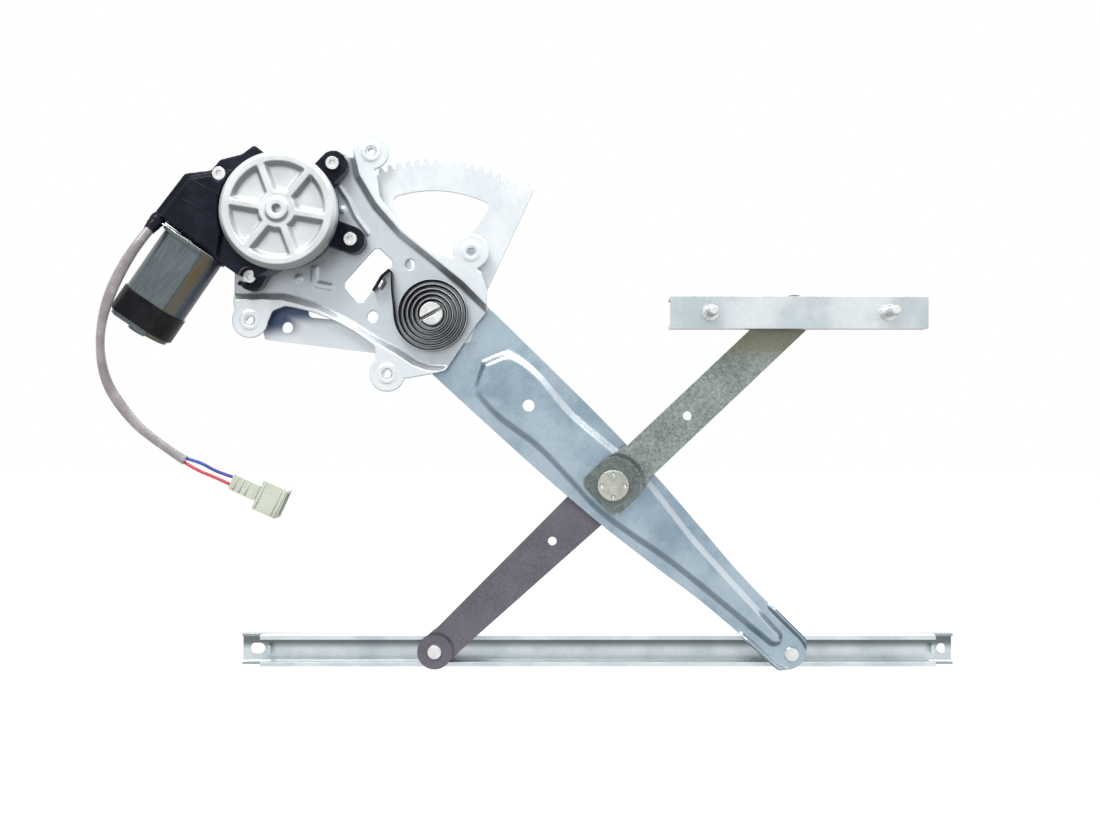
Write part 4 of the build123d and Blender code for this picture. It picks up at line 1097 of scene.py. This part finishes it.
@dataclass
class CounterSpring:
    """Flat spiral of black strip, its hooked outer leg on the plate's tab and its tang in the shaft."""

    inner_r: float = 9.4
    outer_r: float = 25.4
    thickness: float = 1.3
    eased: float = 0.42
    front: float = -3.0
    back: float = 5.0
    end_angle: float = 185.6
    span: float = 1815.4
    steps: int = 300
    leg: tuple[Place, ...] = (
        (-25.9, 5.5), (-26.9, 14.0), (-27.3, 22.0), (-27.4, 27.4), (-28.4, 28.4),
        (-30.2, 26.8), (-32.6, 24.8), (-36.0, 19.0), (-38.4, 15.0),
    )
    slot_angle: float = 28.0
    tang_reach: Place = (-8.55, 3.5)

    def coil_points(self) -> list[Place]:
        """Draws the middle line of the coil from its inner end to the hook's tip.

        Returns:
            Its points, in millimetres from the pivot.
        """
        places = []
        for n in range(self.steps + 1):
            share = n / self.steps
            radius = self.inner_r + (self.outer_r - self.inner_r) * share
            angle = math.radians(self.end_angle + self.span * (1.0 - share))
            places.append((radius * math.cos(angle), radius * math.sin(angle)))
        return places + list(self.leg)

    def strip(self, name: str, line: Sequence[Place]) -> bpy.types.Object:
        """Draws a strip along a line and gives it its thickness and eased edges.

        Args:
            name: The new object's name.
            line: Its middle line, in millimetres from the pivot.

        Returns:
            The strip's object.
        """
        shape = bmesh.new()
        tip = shape.verts.new(from_pivot(*line[0], self.front))
        for place in line[1:]:
            tip = bmesh.ops.extrude_vert_indiv(shape, verts=[tip])["verts"][0]
            tip.co = from_pivot(*place, self.front)
        wide = bmesh.ops.extrude_edge_only(shape, edges=shape.edges[:])
        rear = [v for v in wide["geom"] if isinstance(v, bmesh.types.BMVert)]
        bmesh.ops.translate(shape, verts=rear, vec=Vector((0.0, self.back - self.front, 0.0)) * MM)
        bmesh.ops.recalc_face_normals(shape, faces=shape.faces)
        bmesh.ops.solidify(shape, geom=shape.faces[:], thickness=self.thickness * MM)
        bmesh.ops.recalc_face_normals(shape, faces=shape.faces)
        ease_edges(shape, self.eased, 2, True)
        return from_bmesh(name, shape, 50.0)

    def build(self, shop: Paintshop) -> None:
        """Builds the coil, which stays with the plate, and the tang, which turns with the shaft.

        Args:
            shop: The paintshop that dresses them.
        """
        coil = self.strip("spring_coil", self.coil_points())
        shop.dress_new(coil, Slot.SPRING_STEEL, "base", ["counter_spring"])
        turn = math.radians(self.slot_angle)
        near, far = ((reach * math.cos(turn), reach * math.sin(turn)) for reach in self.tang_reach)
        tang = self.strip("spring_tang", [near, (0.0, 0.0), far])
        shop.dress_new(tang, Slot.SPRING_STEEL, "lift")


@dataclass
class MouldedRibs:
    """Low moulded ribs on the housing's block and on the connector, and the worn edge above the can."""

    ribs: tuple[tuple[Place, Place], ...] = (
        ((-151.0, 83.6), (-134.5, 74.6)), ((-159.5, 73.0), (-139.0, 60.2)), ((-127.0, 79.0), (-123.4, 66.0)),
    )
    rib_half: float = 0.7
    edge: tuple[Place, Place] = ((-173.5, 57.5), (-139.0, 34.0))
    edge_half: float = 0.55
    edge_behind: float = 3.6
    face: float = -23.0
    height: float = 0.6
    plug_angle: float = -24.6
    plug_half: float = 0.75
    plug_ribs: tuple[tuple[Place, float, float, tuple[float, ...]], ...] = (
        ((-120.4, -114.3), -16.0, 4.6, (-6.4, -2.2, 2.0)),
        ((-103.3, -122.2), -18.5, 9.2, (-7.0, 4.6, 7.2)),
    )

    def ridge(self, shape: bmesh.types.BMesh, ends: tuple[Place, Place], depth: float, wide: float) -> None:
        """Adds one low ridge with tapering ends.

        Args:
            shape: The bmesh to add to.
            ends: Its two ends, in millimetres from the pivot.
            depth: Depth of its middle line in millimetres.
            wide: Its half width in millimetres.
        """
        first, last = (from_pivot(*place, depth) for place in ends)
        side = (last - first).normalized().cross(Vector((0.0, 1.0, 0.0))).normalized()
        stations = []
        for share, size in ((0.0, 0.3), (0.06, 1.0), (0.5, 1.0), (0.94, 1.0), (1.0, 0.3)):
            thin = Vector((0.0, -self.height * size * MM, 0.0))
            stations.append((first.lerp(last, share), side * (wide * size * MM), thin))
        sweep(shape, stations, 12)

    def build(self, shop: Paintshop) -> None:
        """Builds both sets of ribs and the worn edge.

        Args:
            shop: The paintshop that dresses them.
        """
        ribs, plug, wear_and_highlight = bmesh.new(), bmesh.new(), bmesh.new()
        for ends in self.ribs:
            self.ridge(ribs, ends, self.face + 0.1, self.rib_half)
        turn = math.radians(self.plug_angle)
        for (mid_x, mid_z), depth, half, places in self.plug_ribs:
            reach_x, reach_z = -half * math.sin(turn), half * math.cos(turn)
            for along in places:
                x, z = mid_x + along * math.cos(turn), mid_z + along * math.sin(turn)
                ends = ((x - reach_x, z - reach_z), (x + reach_x, z + reach_z))
                self.ridge(plug, ends, depth, self.plug_half)
        self.ridge(wear_and_highlight, self.edge, self.face + self.edge_behind, self.edge_half)
        for name, shape, slot in (
            ("housing_ribs", ribs, Slot.BLACK_HOUSING),
            ("connector_ribs", plug, Slot.IVORY_PLASTIC),
            ("housing_worn_edge", wear_and_highlight, Slot.PLATED_STEEL),
        ):
            shop.dress_new(from_bmesh(name, shape), slot, "base")


@dataclass
class PivotFace:
    """Pale staked plate that closes the front of the centre pivot."""

    front: float = 3.5
    thick: float = 2.0
    radius: float = 10.4
    eased: float = 0.4
    stake_size: float = 1.5

    def build(self, shop: Paintshop) -> bpy.types.Object:
        """Builds a low disc with its stake marks pressed into it.

        Args:
            shop: The paintshop that dresses it.

        Returns:
            The finished disc.
        """
        shape = bmesh.new()
        cylinder(shape, on_arm(CROSS_AT, 0.0, self.front + self.thick / 2.0), self.radius, self.thick, 72)
        ease_edges(shape, self.eased, 3, False)
        marks = bmesh.new()
        for spot in stake_spots(self.front):
            turn = Matrix.Translation(spot)
            bmesh.ops.create_icosphere(marks, subdivisions=3, radius=self.stake_size * MM, matrix=turn)
        disc = from_bmesh("pivot_face_blank", shape)
        piece = cut("pivot_face", disc, from_bmesh("pivot_face_marks", marks), 35.0)
        return shop.dress_new(piece, Slot.STAKED_STEEL, "cross")


@dataclass
class StudThreads:
    """Rolled threads on the short channel's two studs, placed from the frame's origin."""

    middle: Place = (271.65, 39.8)
    half_gap: float = 58.2
    front: float = -29.4
    back: float = -13.7
    root_r: float = 2.88
    crest_r: float = 3.26
    pitch: float = 1.0
    run_out: float = 1.2

    def wind(self, shape: bmesh.types.BMesh, x: float, z: float) -> None:
        """Adds one stud's thread.

        Args:
            shape: The bmesh to add to.
            x: Place of the stud's axis to the right.
            z: Its height.
        """
        rings = round(4.0 * (self.back - self.front) / self.pitch)
        stations = []
        for n in range(rings + 1):
            depth = self.front + (self.back - self.front) * n / rings
            stations.append((Vector((x, depth, z)) * MM, Vector((MM, 0.0, 0.0)), Vector((0.0, 0.0, MM))))
        for vert in sweep(shape, stations, 24):
            depth = vert.co.y / MM
            angle = math.atan2(vert.co.z / MM - z, vert.co.x / MM - x)
            phase = (depth / self.pitch + angle / (2.0 * math.pi)) % 1.0
            ends = min(depth - self.front, self.back - depth)
            height = (1.0 - abs(2.0 * phase - 1.0)) * smoothstep(ends, 0.0, self.run_out)
            radius = self.root_r + (self.crest_r - self.root_r) * height
            vert.co = Vector((x + radius * math.cos(angle), depth, z + radius * math.sin(angle))) * MM

    def build(self, shop: Paintshop) -> bpy.types.Object:
        """Builds both threads.

        Args:
            shop: The paintshop that dresses them.

        Returns:
            The threads' object.
        """
        shape = bmesh.new()
        x, z = self.middle
        for side in (-1.0, 1.0):
            self.wind(shape, x + side * self.half_gap, z)
        bmesh.ops.recalc_face_normals(shape, faces=shape.faces)
        return shop.dress_new(from_bmesh("stud_threads", shape, 50.0), Slot.PLATED_STEEL, "equalizer_body")


@dataclass
class Lead:
    """The motor's lead: a flattened sleeve, two wires and a boot. Routes are across, up and depth."""

    sleeve_route: tuple[Point, ...] = (
        (-176.0, 60.5, -17.0), (-187.0, 43.5, -25.0), (-199.5, 21.0, -27.5), (-209.5, -1.0, -24.0),
        (-214.0, -23.5, -18.5), (-211.5, -45.0, -14.5), (-200.5, -63.5, -12.5), (-184.5, -81.0, -12.0),
        (-160.0, -96.8, -12.0),
    )
    blue_route: tuple[Point, ...] = (
        (-159.2, -95.6, -12.0), (-150.0, -98.0, -12.0), (-139.0, -104.6, -12.0), (-129.0, -107.6, -12.0),
    )
    red_route: tuple[Point, ...] = (
        (-160.8, -98.0, -12.0), (-152.0, -103.4, -12.0), (-142.0, -107.2, -12.0), (-130.9, -112.4, -12.0),
    )
    boot: tuple[Place, ...] = (
        (-2.0, 4.4), (0.0, 5.0), (3.0, 4.8), (4.0, 4.3), (5.0, 4.6), (7.0, 4.1), (10.0, 3.7),
    )
    sleeve_r: float = 3.3
    wire_r: float = 1.1
    sleeve_turns: float = 0.9
    flatness: float = 0.84

    def line(self, name: str, route: Sequence[Point], radius: float = 0.0) -> bpy.types.Object:
        """Draws a smooth curve through the air near a route's corners.

        Args:
            name: The curve's name.
            route: Its control points in millimetres.
            radius: The round tube's radius in millimetres, or 0 for a bare line.

        Returns:
            The curve's object.
        """
        curve = bpy.data.curves.new(name, "CURVE")
        curve.dimensions = "3D"
        spline = curve.splines.new("NURBS")
        spline.points.add(len(route) - 1)
        for point, corner in zip(spline.points, route):
            point.co = (*from_pivot(*corner), 1.0)
        spline.order_u = 3
        spline.use_endpoint_u = True
        spline.resolution_u = 16
        curve.bevel_depth = radius * MM
        curve.bevel_resolution = 5
        curve.use_fill_caps = True
        return new_object(name, curve)

    def middle(self, name: str, route: Sequence[Point]) -> list[Vector]:
        """Points along the middle of a route's curve."""
        return [v.co.copy() for v in evaluated_mesh(self.line(name + "_middle", route)).vertices]

    def sleeve(self, path: Sequence[Vector]) -> bpy.types.Object:
        """Builds the slightly flattened, twisted sleeve.

        Args:
            path: Points of its centreline.

        Returns:
            The sleeve's object.
        """
        stations = []
        side = Vector((0.0, -1.0, 0.0))
        total = len(path) - 1
        reach = self.sleeve_r * MM
        for n, point in enumerate(path):
            ahead = (path[min(n + 1, total)] - path[max(n - 1, 0)]).normalized()
            side = (side - ahead * side.dot(ahead)).normalized()
            share = n / total
            pressed = smoothstep(share, 0.0, 0.12) * smoothstep(1.0 - share, 0.0, 0.05)
            flat = 1.0 - (1.0 - self.flatness) * pressed
            wide = Matrix.Rotation(2.0 * math.pi * self.sleeve_turns * share, 3, ahead) @ side
            stations.append((point, wide * (reach / flat**0.5), ahead.cross(wide) * (reach * flat)))
        shape = bmesh.new()
        sweep(shape, stations, 24)
        return from_bmesh("lead_sleeve_tube", shape, 60.0)

    def relief(self, path: Sequence[Vector]) -> bpy.types.Object:
        """Builds the tapered boot where the lead leaves the housing.

        Args:
            path: The sleeve's centreline.

        Returns:
            The boot's object.
        """
        ahead = (path[4] - path[0]).normalized()
        wide = ahead.orthogonal().normalized()
        thin = ahead.cross(wide)
        stations = [(path[0] + ahead * (at * MM), wide * (r * MM), thin * (r * MM)) for at, r in self.boot]
        shape = bmesh.new()
        sweep(shape, stations, 32)
        return from_bmesh("lead_boot", shape, 50.0)

    def build(self, shop: Paintshop) -> None:
        """Args:
            shop: The paintshop that dresses them.
        """
        path = self.middle("lead_sleeve", self.sleeve_route)
        sleeve = shop.dress_new(self.sleeve(path), Slot.GREY_SLEEVE, "base", ["lead_sleeve"])
        shop.dress_new(self.relief(path), Slot.BLACK_HOUSING, "base")
        for name, route, slot in (
            ("blue_wire", self.blue_route, Slot.BLUE_WIRE), ("red_wire", self.red_route, Slot.RED_WIRE)
        ):
            wire = shop.dress_new(self.line(name + "_strand", route, self.wire_r), slot, "base", [name])
            middle = self.middle(name, route)

    @staticmethod
    def length(path: Sequence[Vector]) -> float:
        """Length along a line of points, in metres."""
        return sum((b - a).length for a, b in zip(path, path[1:]))


@dataclass(frozen=True)
class Lamp:
    """A square area lamp: its place in metres, its side and its power."""

    name: str
    place: Point
    size: float
    watts: float


@dataclass
class Studio:
    """Camera at the photograph's angle, soft lamps, pale world and floor, in metres."""

    camera_at: Point = (0.1084, -0.788, -0.0257)
    lens: float = 38.8
    sensor: float = 36.0
    lamps: tuple[Lamp, ...] = (
        Lamp("key_lamp", (-0.5, -1.2, 1.5), 0.7, 24.0),
        Lamp("rim_lamp", (0.8, -0.4, 1.5), 0.6, 12.0),
        Lamp("back_lamp", (0.2, 1.6, 1.0), 1.2, 14.0),
    )
    lamp_target: Point = (0.05, 0.0, -0.03)
    world_low: float = 0.12
    world_high: float = 0.95
    world_rise: Place = (-0.4, 0.8)
    floor_drop: float = 0.25
    floor_half: float = 6.0
    floor_back: float = 2.0
    floor_grey: float = 0.5
    floor_glow: float = 1.15
    glow_share: float = 0.8

    def camera(self) -> None:
        """Makes the camera level with the middle of the linkage, looking straight at it."""
        data = bpy.data.cameras.new("photo_camera")
        data.sensor_width = self.sensor
        data.lens = self.lens
        data.clip_start = 0.01
        camera = new_object("photo_camera", data)
        camera.location = self.camera_at
        camera.rotation_euler = (math.radians(90.0), 0.0, 0.0)
        bpy.context.scene.camera = camera

    def hang(self, lamp: Lamp) -> None:
        """Adds one lamp, which faces the linkage.

        Args:
            lamp: The lamp to hang.
        """
        data = bpy.data.lights.new(lamp.name, "AREA")
        data.shape = "SQUARE"
        data.size = lamp.size
        data.energy = lamp.watts
        hung = new_object(lamp.name, data)
        hung.location = lamp.place
        ray = Vector(self.lamp_target) - Vector(lamp.place)
        hung.rotation_euler = ray.to_track_quat("-Z", "Y").to_euler()

    def world(self) -> None:
        """Pale surroundings: white to the camera, brighter above than below for the metal."""
        world = bpy.data.worlds.new("studio")
        bpy.context.scene.world = world
        bench = NodeBench("studio", world)
        height = bench.axis(bench.node("ShaderNodeTexCoord", {}, {}, "Generated"), "Z")
        shade = bench.node(
            "ShaderNodeMapRange",
            {"interpolation_type": "SMOOTHSTEP"},
            {
                "Value": height, "From Min": self.world_rise[0], "From Max": self.world_rise[1],
                "To Min": self.world_low, "To Max": self.world_high,
            },
        )
        level = {"Factor_Float": bench.seen(), "A_Float": shade, "B_Float": 1.0}
        strength = bench.node("ShaderNodeMix", {"data_type": "FLOAT"}, level)
        sky = bench.node("ShaderNodeBackground", {}, {"Color": (*WHITE, 1.0), "Strength": strength})
        bench.node("ShaderNodeOutputWorld", {}, {"Surface": sky})

    def floor(self, low: Vector) -> None:
        """Lays a wide pale floor beneath the object, which hangs above it as it does in a door.

        Args:
            low: The object's lowest corner.
        """
        shape = bmesh.new()
        bmesh.ops.create_grid(shape, x_segments=1, y_segments=1, size=self.floor_half)
        bmesh.ops.translate(shape, verts=shape.verts, vec=(0.0, self.floor_back, low.z - self.floor_drop))
        floor = from_bmesh("studio_floor", shape)
        bench = NodeBench("pale_floor")
        normal = bench.bump(bench.noise(bench.place(), 8.0, 3.0), 0.05, 0.2, 0.0)
        grey = (self.floor_grey, self.floor_grey, self.floor_grey, 1.0)
        fixed = {"Base Color": grey, "Roughness": 0.7, "Normal": normal}
        lit = bench.node("ShaderNodeBsdfPrincipled", {}, fixed)
        glow = bench.node("ShaderNodeEmission", {}, {"Color": (*WHITE, 1.0), "Strength": self.floor_glow})
        mixed = bench.node("ShaderNodeMixShader", {}, {0: bench.seen() * self.glow_share, 1: lit, 2: glow})
        bench.node("ShaderNodeOutputMaterial", {}, {"Surface": mixed})
        floor.data.materials.append(bench.owner)
        floor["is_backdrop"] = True

    def build(self, low: Vector) -> None:
        """Sets up the whole studio.

        Args:
            low: The object's lowest corner.
        """
        self.camera()
        self.world()
        self.floor(low)
        for lamp in self.lamps:
            self.hang(lamp)
        bpy.context.scene.view_settings.view_transform = "Standard"


@dataclass
class Regulator:
    """The whole regulator: what keeps its packed form, and what gets a form of its own."""

    kept: dict[Slot, tuple[str, ...]] = field(
        default_factory=lambda: {
            Slot.BRIGHT_ZINC: ("weld_nuts", "sector_gear"),
            Slot.SPANGLED_ZINC: ("upper_cross_arm",),
            Slot.DULL_ZINC: ("lower_cross_arm",),
            Slot.CHANNEL_ZINC: ("glass_channel", "equalizer_channel"),
            Slot.PLATED_STEEL: (
                "pivot_shaft", "sector_rivets", "cross_pivot", "pivot_washer", "lift_pin", "lower_pin",
                "upper_pin", "channel_studs", "housing_screws", "output_pinion",
            ),
            Slot.BLACK_BAND: ("can_band", "brush_card"),
            Slot.GREY_CAN: ("motor_can",),
            Slot.NYLON: ("lift_roller", "lower_roller", "upper_roller", "worm_wheel"),
            Slot.MAGNET: ("magnets",),
            Slot.ARMATURE_STEEL: ("armature",),
            Slot.IVORY_PLASTIC: ("connector_body", "connector_head"),
        }
    )
    shells: tuple[CastShell, ...] = (
        CastShell("base_plate", "base_plate_pressing", Slot.BRIGHT_ZINC, 0.75, 1),
        CastShell("gear_housing", "gear_housing_casting", Slot.BLACK_HOUSING, 0.75, 2),
        CastShell("gear_cover", "gear_cover_pressing", Slot.SILVER_COVER, 0.5, 5),
    )

    def build(self, shop: Paintshop) -> None:
        """Dresses the kept nodes and builds the new pieces.

        Args:
            shop: The paintshop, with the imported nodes.
        """
        for slot, names in self.kept.items():
            for name in names:
                shop.coat(shop.nodes[name], slot)
                LOG.info("%s keeps its form", name)
        forms = (LiftArm(), CounterSpring(), PivotFace(), StudThreads(), MouldedRibs(), Lead())
        for part in (*self.shells, *forms):
            part.build(shop)


def main() -> None:
    """Loads the frame, builds the regulator and its studio, and measures the frame for the floor."""
    logging.basicConfig(level=logging.INFO, format="%(message)s")
    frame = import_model()
    packed_low, packed_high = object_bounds()
    Studio().build(packed_low)
    Regulator().build(Paintshop(frame["nodes"]))
    bpy.context.view_layer.update()


if __name__ == "__main__":
    main()
